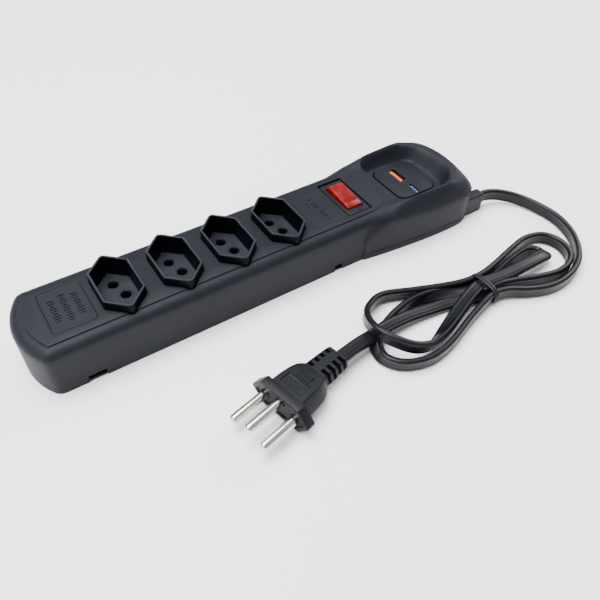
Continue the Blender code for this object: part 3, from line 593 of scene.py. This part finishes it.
def cord_line():
    """The cord's centreline, with the directions of its width and its thickness at each point."""
    points = smooth(CORD_ROUTE, CORD_STEP)
    rows = []
    for i, point in enumerate(points):
        ahead = points[min(i + 1, len(points) - 1)].to_3d()
        behind = points[max(i - 1, 0)].to_3d()
        along = (ahead - behind).normalized()
        level = Vector((0, 0, 1)).cross(along).normalized()
        turn = math.radians(point[3])
        width = level * math.cos(turn) + along.cross(level) * math.sin(turn)
        lifted = point.to_3d() + Vector((0, 0, CORD_LIFT))
        rows.append((lifted, width, along.cross(width)))
    return rows


def cord():
    """The whole cord as one piece, and its centreline in metres."""
    section = cord_section()
    line = cord_line()
    bm = loft([[centre + width * w + thick * t for w, t in section] for centre, width, thick in line])
    obj = raw("flat_cord", bm)
    dress(obj, CORD, "strip", ("cord_lead", "cord_hank", "cord_tail"), 50)
    return obj, [centre * MM for centre, _, _ in line]


def tie_line():
    """Two turns round the bundle, between a circle and a square in shape, which drift along X."""
    far, near, low, high = -71.6, -90.4, 0.7, 10.4
    middle, half = (far + near) / 2, (far - near) / 2
    centre, rise = (low + high) / 2, (high - low) / 2
    points = []
    turns, sides = 2, 32
    for i in range(turns * sides + 1):
        angle = 2 * math.pi * i / sides
        reach = (abs(math.cos(angle)) ** 3 + abs(math.sin(angle)) ** 3) ** (-1 / 3)
        x = 87.2 + 3.4 * i / (turns * sides) + 0.5 * math.sin(angle)
        points.append((x, middle + half * math.cos(angle) * reach, centre + rise * math.sin(angle) * reach))
    return points


def tie():
    """A thin coated wire, wide along X, wound round the bundle close to it."""
    half_width, half_thickness, sides = 0.62, 0.5, 12
    turns = [2 * math.pi * k / sides for k in range(sides)]
    points = tie_line()
    rings = []
    for i, point in enumerate(points):
        here = Vector(point)
        along = (Vector(points[min(i + 1, len(points) - 1)]) - Vector(points[max(i - 1, 0)])).normalized()
        out = along.cross(Vector((1.0, 0.0, 0.0))).normalized()
        wide = out.cross(along)
        rings.append([here + half_width * math.cos(a) * wide + half_thickness * math.sin(a) * out
                      for a in turns])
    dress(raw("twist_tie", loft(rings)), TIE, "strip", ("cord_tie",), 50)


# ---------------------------------------------------------------- housing

# The widened end's flank on the near side: x and half width
FLANK = [(50.5, 24.9), (54.0, 25.3), (62.0, 26.4), (75.0, 27.9), (95.0, 29.6), (112.0, 30.0),
         (121.0, 29.4), (127.0, 27.0), (130.4, 22.8), (131.6, 14.0), (132.2, 0.0)]
FLANK_STEP = 1.0

# The step into the wide end: its length low down, its further length on top, and the heights between
STEP_LENGTH = 1.2
STEP_SPREAD = 22.0
STEP_LOW = 12.0
STEP_RISE = 15.0

# Where along X the band beside the deck plate rises to the deck, and the rim rises and falls again
BAND_RISE = (56.0, 72.0)
RIM_RISE = (64.0, 88.0)
RIM_FALL = (108.0, 125.0)

WALL_STEPS = 8
SHOULDER_STEPS = 9
DECK_COLUMNS = 84

# The basin's floor and its rim: left, right, half width, and the corner radii at left and right
BASIN_BOTTOM = (78.7, 114.0, 17.5, 7.0, 7.0)
BASIN_TOP = (77.5, 122.6, 23.4, 7.0, 20.0)


def needs_fine_steps(x):
    """True at the step into the wide end, and at the basin's left rim."""
    return x < 53.0 or 76.0 < x < 80.0


def near_edge():
    """The near half of the body's plan from the left end to the right, before the step is shaped."""
    centre = -BODY_END + END_RADIUS
    corner = (-120.7, -17.9)
    reach = math.degrees(math.atan2(-corner[1], centre - corner[0]))
    end_steps, corner_steps, straight_steps = 9, 10, 56
    points = [(centre - END_RADIUS * math.cos(a), -END_RADIUS * math.sin(a))
              for a in (math.radians(reach * i / end_steps) for i in range(end_steps))]
    for i in range(corner_steps + 1):
        a = math.radians(reach + (90 - reach) * i / corner_steps)
        points.append((corner[0] - CORNER_RADIUS * math.cos(a), corner[1] - CORNER_RADIUS * math.sin(a)))
    points += [(corner[0] + (WIDE_START - corner[0]) * i / straight_steps, -NARROW_HALF)
               for i in range(1, straight_steps)]
    flank = [p.to_2d() for p in smooth([(x, -half) for x, half in FLANK], FLANK_STEP)]
    for before, after in zip(flank, flank[1:]):
        pieces = 3 if needs_fine_steps(after.x) else 1
        points += [tuple(before.lerp(after, k / pieces)) for k in range(pieces)]
    return points + [(BODY_END, 0.0)]


NEAR_EDGE = near_edge()


def band_height(x):
    """The height of the top round the deck plate: lower than the plate, then level with it."""
    return DECK - DECK_STEP * (1 - ease(x, *BAND_RISE))


def top_height(x):
    """The height of the top at the shoulder: below the raised deck plate, then up beside the basin."""
    return band_height(x) + RIM_HEIGHT * ease(x, *RIM_RISE) - RIM_DROP * ease(x, *RIM_FALL)


def shoulder_foot(x):
    """The height where the wall ends and the shoulder starts."""
    return SHOULDER_FOOT - SHOULDER_DROP * ease(x, 64.0, 100.0)


def body_outline(height):
    """The body's plan at a height: the step into the wide end is short low down and long above."""
    climb = max(0.0, min(1.0, (height - STEP_LOW) / STEP_RISE))
    blend = STEP_LENGTH + STEP_SPREAD * climb ** 1.5
    near = []
    for x, y in NEAR_EDGE:
        if WIDE_START <= x < WIDE_FULL:
            y = -NARROW_HALF + (y + NARROW_HALF) * ease(x, WIDE_START - 0.5, WIDE_START + blend)
        near.append((x, y))
    return near + [(x, -y) for x, y in reversed(near[1:-1])]


def inner_plan(inset):
    """The body's plan moved in, taken where the step into the wide end is gentle."""
    return offset(body_outline(SHOULDER_FOOT + SHOULDER_HEIGHT), -inset)


def wall_ring(share):
    """One turn round the wall, at a share of its height."""
    return [(x, y, shoulder_foot(x) * share) for x, y in body_outline(SHOULDER_FOOT * share)]


def top_contour(outline):
    """Where the shoulder meets the top: an inset of the plan, and a fuller curve round the right end."""
    curve_start, fullness = 104.0, 0.84
    contour = offset(outline, -SHOULDER_WIDTH)
    count = len(NEAR_EDGE)
    first = min(i for i in range(count) if NEAR_EDGE[i][0] > curve_start)
    centre, half = contour[first]
    for i in range(first, count):
        angle = math.radians(90 * (i - first) / (count - 1 - first))
        x = centre + (BODY_END - SHOULDER_WIDTH - centre) * math.sin(angle) ** fullness
        y = half * max(math.cos(angle), 0.0) ** fullness
        contour[i] = (x, y)
        contour[-i] = (x, -y)
    return contour


def shoulder_ring(share):
    """One turn round the shoulder: quarter round on the narrow part, half a chamfer on the wide one."""
    outline = body_outline(SHOULDER_FOOT + SHOULDER_HEIGHT * share)
    angle = math.radians(90 * share)
    ring = []
    for (x, y), (top_x, top_y) in zip(outline, top_contour(outline)):
        flat = 0.5 * ease(x, 56.0, 80.0)
        foot = shoulder_foot(x)
        inwards = (1 - math.cos(angle)) * (1 - flat) + share * flat
        rise = math.sin(angle) * (1 - flat) + share * flat
        z = foot + (top_height(x) - foot) * rise
        ring.append((x + (top_x - x) * inwards, y + (top_y - y) * inwards, z))
    return ring


def rounded_distance(x, y, shape):
    """Signed distance from a rectangle with rounded corners, negative inside."""
    left, right, half, left_radius, right_radius = shape
    middle = (left + right) / 2
    radius = right_radius if x > middle else left_radius
    qx = abs(x - middle) - (right - left) / 2 + radius
    qy = abs(y) - half + radius
    return math.hypot(max(qx, 0.0), max(qy, 0.0)) + min(max(qx, qy), 0.0) - radius


def deck_height(x, y, edge):
    """The height of the top inside the shoulder, at a distance from the body's outline."""
    hump = max(1 - ease(edge, 6.5, 11.5), ease(x, 100.0, 118.0))
    level = band_height(x)
    crest = level + (top_height(x) - level) * hump
    to_floor = rounded_distance(x, y, BASIN_BOTTOM)
    to_rim = rounded_distance(x, y, BASIN_TOP)
    if to_rim >= 0:
        return crest
    if to_floor <= 0:
        return BASIN_FLOOR
    share = to_floor / (to_floor - to_rim)
    return BASIN_FLOOR + (crest - BASIN_FLOOR) * (0.45 * share + 0.55 * ease(share, 0.0, 1.0))


def outline_tree(ring):
    """Finds how far a place in the plan is from the nearest point of a ring."""
    tree = KDTree(len(ring))
    for i, point in enumerate(ring):
        tree.insert((point[0], point[1], 0.0), i)
    tree.balance()
    return tree


def deck_rows(bm, edge_verts, tree):
    """Rows of vertices over the top, each from the near side of its edge to the far side."""
    count = len(NEAR_EDGE)
    rows = [[edge_verts[0]]]
    for i in range(1, count - 1):
        near, far = edge_verts[i], edge_verts[len(edge_verts) - i]
        row = [near]
        for k in range(1, DECK_COLUMNS):
            x, y, _ = near.co.lerp(far.co, k / DECK_COLUMNS)
            edge = tree.find((x, y, 0.0))[2]
            row.append(bm.verts.new((x, y, deck_height(x, y, edge))))
        rows.append(row + [far])
    return rows + [[edge_verts[count - 1]]]


def body_shell():
    """The body's outer surface as one closed solid: walls, shoulder, deck, rim and basin."""
    rings = [wall_ring(i / WALL_STEPS) for i in range(WALL_STEPS)]
    rings += [shoulder_ring(i / SHOULDER_STEPS) for i in range(SHOULDER_STEPS + 1)]
    bm = loft(rings)
    bm.faces.ensure_lookup_table()
    bm.faces.remove(bm.faces[len(bm.faces) - 1])
    bm.verts.ensure_lookup_table()
    edge_verts = [bm.verts[i] for i in range(len(bm.verts) - len(rings[0]), len(bm.verts))]
    rows = deck_rows(bm, edge_verts, outline_tree(rings[0]))
    for low, high in zip(rows, rows[1:]):
        for k in range(DECK_COLUMNS):
            corners = [low[min(k, len(low) - 1)], high[min(k, len(high) - 1)],
                       high[min(k + 1, len(high) - 1)], low[min(k + 1, len(low) - 1)]]
            bm.faces.new(list(dict.fromkeys(corners)))
    bmesh.ops.recalc_face_normals(bm, faces=bm.faces)
    return bm


def hexagon(x, inset=0.0):
    """An outlet's plan, with small corners at the sides and wide ones at the two points."""
    corners = [(x + COLLAR_HALF, -COLLAR_CORNER), (x + COLLAR_HALF, COLLAR_CORNER), (x, COLLAR_TIP),
               (x - COLLAR_HALF, COLLAR_CORNER), (x - COLLAR_HALF, -COLLAR_CORNER), (x, -COLLAR_TIP)]
    radii = [max(radius - inset, 0.3) for radius in (1.4, 1.4, 2.6, 1.4, 1.4, 2.6)]
    return rounded(offset(corners, -inset), radii)


def plate_outline(margin=0.0):
    """The basin plate's plan: the gap round it is wide in front and on the near side, and fine elsewhere."""
    return rounded(rectangle(85.0 - 4.0 * margin, -13.4 - 3.4 * margin, PLATE_HIGH.x + 0.3 * margin,
                             PLATE_HIGH.y + 0.3 * margin), 5.5 + margin)


def cable_notch():
    """The way out for the gland, through the right end's near corner."""
    return box(115.0, GLAND_Y - GLAND_HALF - GAP, -1.0, 138.0, GLAND_Y + GLAND_HALF + GAP, 13.1)


def pry_notches():
    """Notches in both walls' lower edges, for opening the body."""
    solids = []
    for left, right in PRY_NOTCHES:
        for side in (-1, 1):
            ys = sorted((side * 25.0, side * (NARROW_HALF - PRY_DEPTH)))
            solids.append(box(left, ys[0], -1.0, right, ys[1], TRAY_TOP))
    return solids


def deck_plate():
    """The raised part of the deck: bowed at the left, square at the corners, turned in at the right."""
    left, near = -126.0, -18.7
    bow = [(left + 5.4 * (y / near) ** 2, y) for y in (k * near / 8 for k in range(-8, 9))]
    side = smooth([(54.0, near), (60.0, near + 0.4), (65.0, near + 1.8), (69.0, near + 4.6)], 1.0)
    near_side = [tuple(p) for p in side] + [(71.0, near + 8.0)]
    far_side = [(x, -y) for x, y in reversed(near_side)]
    return softened(near_side + far_side + bow, DECK - 1.6, DECK, 0.3)


def deck_bar(x0, y0, x1, y1):
    """A sunk bar in the deck, which stands for a letter."""
    return box(x0, y0, DECK - 0.5, x1, y1, DECK + 1)


def deck_marks():
    """Grooves for the label frame and its rows, and for the plate beside the last outlet."""
    frame_groove = ring_groove(rounded(rectangle(-116.4, -14.3, -95.5, 14.3), 2.5), DECK, 0.34)
    rows = []
    for x, marks in ((-111.6, 9), (-106.0, 11), (-100.4, 9)):
        for k in range(marks):
            y = (k - (marks - 1) / 2) * 1.75
            half = 1.6 if k % 3 else 1.0
            rows.append(deck_bar(x - half, y - 0.28, x + half, y + 0.28))
    lines = ([(30.5, 8.0), (31.3, -11.8), (36.9, -11.8)], [(24.2, 12.0), (24.2, -13.5), (25.6, -15.0)])
    grooves = [tube([(x, y, DECK) for x, y in line], 0.26) for line in lines]
    bars = [deck_bar(33.2, y, 35.8, y + 0.5) for y in (-9.0, -7.2, -5.4, -3.6, 0.0, 1.8, 3.6, 7.2)]
    return [[frame_groove], rows, grooves, bars]


def housing():
    """The upper shell: hollow, with screw posts, and open at the outlets, the switch and the USB plate."""
    obj = raw("top_shell", body_shell())
    join(obj, deck_plate())
    cut(obj, prism(inner_plan(WALL), -1.0, BASIN_FLOOR - WALL))
    left = -BODY_END + 8.0
    cut(obj, softened(rectangle(left, -19.6, 74.5, 19.6), 12.0, DECK - 2.2, 1.5))
    join(obj, *[rod(x, y, POST_RADIUS, 2.5, top) for x, y, top in POSTS])
    cut(obj, *[rod(x, y, POST_HOLE, 0.0, 14.0) for x, y, _ in POSTS])
    cut(obj, *[prism(hexagon(x, -GAP), 18.0, 36.0) for x in OUTLET_XS.values()],
        box(SWITCH_LOW.x - GAP, SWITCH_LOW.y - GAP, 20.0, SWITCH_HIGH.x + GAP, SWITCH_HIGH.y + GAP, 36.0),
        prism(plate_outline(GAP), 15.0, BASIN_FLOOR + 4.0),
        box(WIDE_START - GAP, -40.0, -1.0, BODY_END + 2, 40.0, TRAY_TOP + GAP), *pry_notches())
    cut(obj, cable_notch())
    for solids in deck_marks():
        cut(obj, *solids)
    dress(obj, HOUSING, "strip", ("top_housing",), 28)


def base_cover():
    """The plate under the body, with a tray as wide as the body under its right end."""
    wide = [(x, y) for x, y in body_outline(0.0) if x >= WIDE_START]
    obj = raw("bottom_cover", softened(inner_plan(WALL + GAP), 0.0, 2.2, 0.4))
    join(obj, softened(wide, 0.0, TRAY_TOP, 0.35))
    cut(obj, prism(inner_plan(WALL), 2.2, TRAY_TOP + 1))
    ribs = [-90.0, -66.0, -36.0, -6.0, 14.0]
    tabs = [box(left + 0.3, side * 22.2 - 1.2, 0.2, right - 0.3, side * 22.2 + 1.2, 1.6)
            for left, right in PRY_NOTCHES for side in (-1, 1)]
    join(obj, *tabs, *[box(x, -13.0, 1.0, x + 2.0, 13.0, 7.6) for x in ribs],
         box(106.0, -19.9, 1.0, 119.5, -15.5, 11.0))
    cut(obj, *[rod(x, y, POST_HOLE, -1.0, 5.0) for x, y, _ in POSTS])
    cut(obj, *[rod(x, y, POST_RADIUS, -1.0, 1.5) for x, y, _ in POSTS],
        *[rod(x, -17.6, 1.5, 3.0, 12.0) for x in (108.5, 116.5)])
    cut(obj, cable_notch())
    dress(obj, HOUSING, "strip", ("base_cover",), 28)


# ---------------------------------------------------------------- outlets

def outlet(name, x):
    """A hexagonal cup: rounded rim with a painted highlight on its top, smooth walls, and a grey floor with
    three round holes.
    """
    # inset and height: up the outside, over the rim and down to the floor
    levels = [(0.0, 19.5), (0.0, 30.0), (0.05, 32.7), (0.12, 33.0), (0.32, 33.2), (0.95, 33.2),
              (1.15, 33.05), (1.25, 32.7), (1.4, 25.0), (1.5, 22.1), (1.8, 21.65), (2.3, RECESS_FLOOR)]
    obj = raw(f"{name}_cup", stack([(hexagon(x, inset), z) for inset, z in levels]))
    join(obj, box(x - 11.7, -9.5, 24.2, x - 9.8, 9.5, 25.8), box(x + 9.8, -9.5, 24.2, x + 11.7, 9.5, 25.8))
    holes = [(x, PIN_PITCH / 2), (x, -PIN_PITCH / 2), (x + EARTH_OFFSET, 0.0)]
    mouth = PIN_HOLE + 0.35
    hole_levels = ((PIN_HOLE, 17.0), (PIN_HOLE, 21.1), (mouth, RECESS_FLOOR), (mouth, 24.0))
    cut(obj, *[stack([(circle(px, py, radius), z) for radius, z in hole_levels]) for px, py in holes])
    cut(obj, *[ring_groove(circle(px, py, PIN_HOLE + 1.0), RECESS_FLOOR, 0.14) for px, py in holes])
    marks = [box(x - 4.2 - 0.9 * k, -2.2 + 0.5 * k, RECESS_FLOOR - 0.15,
                 x - 3.9 - 0.9 * k, 2.2 - 0.5 * k, RECESS_FLOOR + 1) for k in range(3)]
    cut(obj, *marks)
    dress(obj, COLLAR, "strip", (name,), 30)
    paint(obj, RECESS, lambda centre: 20.0 < centre.z < 21.9 and abs(centre.x - x) < 9.0)
    # Painted highlight: the rim tops take the lighter plastic, for the light that the rim edges catch.
    paint(obj, COLLAR_RIM_HIGHLIGHT, lambda centre: centre.z > 32.95)


# ---------------------------------------------------------------- USB plate

# Each port is its centre, its width along X, its length along Y, its corner radius and its depth
USB_A = (98.0, 6.7, 5.5, 13.0, 0.4, 13.8)
USB_C = (98.4, -8.3, 3.2, 8.9, 1.4, 9.0)


def opening(port, margin):
    """A USB port's outline, grown or shrunk by margin."""
    x, y, width, length, radius, _ = port
    half = (width / 2 + margin, length / 2 + margin)
    return rounded(rectangle(x - half[0], y - half[1], x + half[0], y + half[1]),
                   max(radius + margin, 0.15))


def usb_plate():
    """The basin's own plate, with an opening for each port."""
    obj = raw("basin_plate", softened(plate_outline(), PLATE_LOW.z, BASIN_FLOOR, 0.08))
    cut(obj, *[prism(opening(port, GAP), 15.0, 24.0) for port in (USB_A, USB_C)])
    dress(obj, HOUSING, "strip", ("usb_faceplate",), 30)


def usb_shell(name, port, wall):
    """A metal shell, bright at its rim, with painted shade in place of metal on its inner walls."""
    x, y, width, length, _, depth = port
    low = BASIN_FLOOR - depth
    levels = [(0.0, low), (0.0, BASIN_FLOOR - 0.05), (-0.05, BASIN_FLOOR), (0.04 - wall, BASIN_FLOOR),
              (-wall, BASIN_FLOOR - 0.08), (-wall, low + 1.0)]
    obj = raw(f"{name}_can", stack([(opening(port, margin), z) for margin, z in levels]))
    dress(obj, PORT, "strip", (f"{name}_shell",), 30)
    # Painted shade: the inner walls take the dark plastic instead of metal, for the shade inside the port.
    paint(obj, PORT_SHADE, lambda centre: low + 0.5 < centre.z < BASIN_FLOOR - 0.4
          and abs(centre.x - x) < (width - wall) / 2 and abs(centre.y - y) < (length - wall) / 2)


def usb_tongue(name, corners, material, contacts):
    """A moulded tongue with a row of small gold contacts near its end."""
    x0, y0, z0, x1, y1, z1 = corners
    obj = raw(f"{name}_blade", softened(rectangle(x0, y0, x1, y1), z0, z1, 0.12))
    pads = []
    pitch = (y1 - y0) / (contacts + 1)
    for k in range(contacts):
        y = y0 + pitch * (k + 1)
        pads.append(box(x1 - 0.15, y - pitch * 0.28, z1 - 4.0, x1 + 0.08, y + pitch * 0.28, z1 - 0.9))
    join(obj, *pads)
    dress(obj, material, "strip", (f"{name}_tongue",), 30)
    paint(obj, BRASS, lambda centre: centre.x > x1 + 0.02)


def usb_ports():
    usb_plate()
    usb_shell("usb_a", USB_A, 0.26)
    usb_shell("usb_c", USB_C, 0.22)
    x, y, width, length, _, depth = USB_A
    left = x - width / 2 + 0.5 + GAP
    usb_tongue("usb_a", (left, y - length / 2 + 1.1, BASIN_FLOOR - depth + 1.3, left + 1.8,
                         y + length / 2 - 1.1, BASIN_FLOOR - 0.4), ORANGE, 4)
    x, y, width, length, _, depth = USB_C
    usb_tongue("usb_c", (x - 0.35, y - length / 2 + 1.2, BASIN_FLOOR - depth + 1.3, x + 0.35,
                         y + length / 2 - 1.2, BASIN_FLOOR - 0.6), BLUE, 8)


# ---------------------------------------------------------------- switch

PIVOT_Z = 25.5
ROCKER_TILT = 6.0
ROCKER_HALF_WIDTH = 4.7
BLADE_YS = (-7.8, 0.0, 7.8)


def switch_body():
    """The bezel stands a little lower than the deck, with a dark gap round it."""
    x = SWITCH_X
    outline = rounded(rectangle(x - 7.1, -15.0, x + 7.1, 14.5), 0.5)
    obj = raw("switch_frame", softened(outline, 25.6, DECK - 0.25, 0.25))
    join(obj, box(x - 6.5, -12.3, 9.0, x + 6.5, 12.3, 26.5))
    cut(obj, softened(rectangle(x - 5.3, -11.1, x + 5.3, 11.1), 11.0, DECK + 2, 0.3))
    cut(obj, across(rod(0.0, PIVOT_Z, 1.5, -8.0, 8.0), x),
        *[box(x - 3.4, y - 0.8, 8.0, x + 3.4, y + 0.8, 12.0) for y in BLADE_YS])
    cut(obj, ring_groove(circle(x + 1.0, -13.2, 1.2, 24), DECK - 0.25, 0.3))
    dress(obj, HOUSING, "strip", ("switch_housing",), 30)


def rocker_profile():
    """The rocker's side view about its pivot: round ends, a shallow crown and two chamfers."""
    radius, start, sweep, steps = 10.55, -19, 42.3, 12
    right = [(radius * math.cos(a), radius * math.sin(a))
             for a in (math.radians(start + sweep * i / steps) for i in range(steps + 1))]
    right += [(9.4, 4.36), (6.7, 4.86), (6.3, 4.9), (3.0, 4.82)]
    left = [(-y, z) for y, z in reversed(right)]
    return [(y, z + PIVOT_Z) for y, z in right + [(0.0, 4.78)] + left]


def rocker():
    """The red rocker on its trunnions, hollow underneath and tilted to its resting place."""
    x = SWITCH_X
    outline = rocker_profile()
    half = ROCKER_HALF_WIDTH
    levels = [(-0.35, -half), (-0.1, -half + 0.1), (0.0, -half + 0.35),
              (0.0, half - 0.35), (-0.1, half - 0.1), (-0.35, half)]
    obj = raw("rocker_cap", across(stack([(offset(outline, inset), z) for inset, z in levels]), x))
    join(obj, across(rod(0.0, PIVOT_Z, 1.2, -6.1, 6.1), x))
    for low, high in ((2.4, 8.4), (-8.4, -2.4)):
        cut(obj, box(x - 3.6, low, 20.0, x + 3.6, high, PIVOT_Z + 2.4))
    cut(obj, rod(x, 0.0, 1.4, 20.0, PIVOT_Z + 1.6))
    ridges = [box(x - 3.4, y - 0.18, PIVOT_Z + 4.7, x + 3.4, y + 0.18, PIVOT_Z + 5.5)
              for y in (-6.0, -5.0, -4.0)]
    cut(obj, *ridges)
    turn = Matrix.Rotation(math.radians(ROCKER_TILT), 4, "X")
    pivot = Matrix.Translation((x * MM, 0.0, PIVOT_Z * MM))
    obj.data.transform(pivot @ turn @ pivot.inverted())
    dress(obj, RED, "rocker", ("rocker",), 30)


# ---------------------------------------------------------------- gland

def gland_section(x, half, low, high):
    """An upright section: wide rounds at the top and small chamfers at the bottom."""
    radius, steps, chamfer = 0.9, 6, 0.3
    top = []
    for side, start in ((1, 0), (-1, 90)):
        for i in range(steps + 1):
            angle = math.radians(start + 90 * i / steps)
            top.append((x, GLAND_Y + side * (half - radius) + radius * math.cos(angle),
                        high - radius + radius * math.sin(angle)))
    return top + [(x, GLAND_Y - half, low + chamfer), (x, GLAND_Y - half + chamfer, low),
                  (x, GLAND_Y + half - chamfer, low), (x, GLAND_Y + half, low + chamfer)]


def gland():
    """The moulded block where the cord leaves, with a waist inside for the wall to hold."""
    rows = ((127.0, 3.4, 0.2, 12.8), (139.6, 3.3, 0.2, 12.6), (140.7, 3.15, 0.3, 12.4),
            (141.2, 2.8, 0.7, 12.0))
    obj = raw("gland_block", loft([gland_section(*row) for row in rows]))
    join(obj, box(112.0, GLAND_Y - 2.2, 2.8, 128.0, GLAND_Y + 2.2, 11.0))
    join(obj, box(121.5, GLAND_Y - 2.9, 2.6, 124.0, GLAND_Y + 2.9, 12.0))
    dress(obj, PLUG, "strip", ("cord_gland",), 32)


# ---------------------------------------------------------------- plug

def plug_matrix():
    """Moves the plug from its own frame to its place on the floor."""
    place = Matrix.Translation((PLUG_PLACE[0] * MM, PLUG_PLACE[1] * MM, 0.0))
    return place @ Matrix.Rotation(math.radians(PLUG_TURN), 4, "Z")


def plug_section(u, tip, flat, low, high, grow=0.0):
    """A section of the plug across its length, with rounded corners and a point at each side."""
    corners = [(tip, PLUG_AXIS_Z), (flat, high), (-flat, high),
               (-tip, PLUG_AXIS_Z), (-flat, low), (flat, low)]
    outline = rounded(offset(corners, grow), [1.6, 1.2, 1.2, 1.6, 1.2, 1.2], 4)
    return [(u, y, z) for y, z in outline]


def relief_slots():
    """Staggered slots through the strain relief, short and long."""
    slots = []
    for number in range(4):
        u = 24.0 + number * 3.7
        slots.append(box(u, 2.6, 2.0, u + 1.8, 5.2, 15.0))
        slots.append(box(u + 0.9, 6.3, 2.0, u + 2.4, 9.5, 15.0))
        slots.append(box(u + 0.7, -9.5, 2.0, u + 2.7, -1.8, 15.0))
    return slots


def pin_hole(y, z):
    """A hole round a pin, wider at the face."""
    mouth, deep = PIN_RADIUS + 0.35, PIN_RADIUS + 0.2
    levels = ((mouth, -1.0), (mouth, 1.2), (deep, 1.6), (deep, 5.9))
    return across(stack([(circle(y, z, radius), u) for radius, u in levels]))


def plug_label(obj):
    """A sunk panel of studs on top, and a small raised plate behind it with three grooves."""
    cut(obj, softened(rounded(rectangle(6.9, -6.6, 13.4, 6.6), 0.5), 14.7, 18.0, 0.15))
    join(obj, *[box(7.7 + 1.7 * k, -5.4 + 1.3 * m, 14.2, 8.5 + 1.7 * k, -4.6 + 1.3 * m, 14.95)
                for k in range(3) for m in range(9)])
    join(obj, softened(rectangle(14.7, -3.9, 18.4, 4.1), 13.0, 15.9, 0.2))
    cut(obj, *[box(15.3 + 0.95 * k, -3.4, 15.45, 15.75 + 0.95 * k, 3.6, 18.0) for k in range(3)])


def plug_body():
    """The plug: a flange with a hollow face, a grip that narrows, and a slotted strain relief."""
    flange = [plug_section(u, *FLANGE, grow) for u, grow in
              ((0.0, -0.5), (0.15, -0.15), (0.5, 0.0), (4.4, -0.1), (4.85, -0.25), (5.0, -0.6))]
    grip = [plug_section(*row) for row in (
        (4.0, 13.6, 9.4, 0.8, 15.6), (12.0, 13.0, 9.0, 0.8, 15.5), (17.0, 12.2, 8.5, 1.0, 15.2),
        (19.8, 10.9, 7.9, 1.5, 14.7), (21.8, 9.4, 7.0, 2.2, 14.0), (23.0, 8.2, 6.3, 2.8, 13.4))]
    relief = [plug_section(*row) for row in (
        (21.0, 8.0, 6.2, 3.4, 13.0), (31.0, 7.5, 5.9, 3.6, 12.8), (38.2, 7.0, 5.5, 3.9, 12.5),
        (39.2, 6.7, 5.2, 4.2, 12.2))]
    obj = raw("plug_grip", loft(flange))
    join(obj, loft(grip))
    join(obj, loft(relief))
    cut(obj, *relief_slots())
    cut(obj, *[pin_hole(y, z) for y, z in pin_places()])
    cut(obj, loft([plug_section(u, *FLANGE, -2.2) for u in (-1.0, 0.5)]))
    plug_label(obj)
    obj.data.transform(plug_matrix())
    return dress(obj, PLUG, "strip", ("plug_body",), 32)


def pin_places():
    """Each pin's place across the plug: line, neutral and earth."""
    return [(PIN_PITCH / 2, PLUG_AXIS_Z), (-PIN_PITCH / 2, PLUG_AXIS_Z), (0.0, PLUG_AXIS_Z + EARTH_OFFSET)]


def plug_pins():
    """Bright round pins with domed tips."""
    names = ("plug_pin_line", "plug_pin_neutral", "plug_pin_earth")
    pins = []
    for name, (y, z) in zip(names, pin_places()):
        dome = [(PIN_RADIUS * math.sin(a), -PIN_LENGTH + PIN_DOME * (1 - math.cos(a)))
                for a in (math.radians(90 * i / 8) for i in range(1, 9))]
        levels = dome + [(PIN_RADIUS, PIN_ROOT)]
        obj = raw(f"{name}_bar", across(stack([(circle(y, z, radius), u) for radius, u in levels])))
        obj.data.transform(plug_matrix())
        pins.append(dress(obj, NICKEL, "strip", (name,), 32))
    return pins


# ---------------------------------------------------------------- the nodes kept as they are

KEPT = {
    STEEL: [f"housing_screw_{number}" for number in range(1, 7)] + [
        "clamp_screw_1", "clamp_screw_2", "plunger_spring"],
    # the busbars take the bronze darkened as painted shade
    SHADED_CONTACT: ("live_busbar", "neutral_busbar", "earth_busbar"),
    BRASS: ("contact_bridge", "switch_terminal_on", "switch_terminal_common", "switch_terminal_lamp"),
    COLLAR: ("switch_plunger", "cord_clamp"),
    BOARD: ("usb_board",),
    FERRITE: ("usb_transformer",),
    BLUE: ("usb_capacitor",),
    LAMP: ("neon_lamp",),
    WIRE_RED: ("wire_live", "wire_switched"),
    WIRE_BLUE: ("wire_neutral",),
    WIRE_GREEN: ("wire_earth",),
}


def keep_nodes():
    """Gives the inner CAD pieces their materials."""
    for material, names in KEPT.items():
        for name in names:
            obj = bpy.data.objects[name]
            obj.data.materials.clear()
            obj.data.materials.append(material)


# ---------------------------------------------------------------- assembly

camera()
floor()
lights()
keep_nodes()
housing()
base_cover()
for outlet_name, outlet_x in OUTLET_XS.items():
    outlet(outlet_name, outlet_x)
usb_ports()
switch_body()
rocker()
gland()
tie()
plug_pieces = [plug_body(), *plug_pins()]
flat_cord, cord_path = cord()
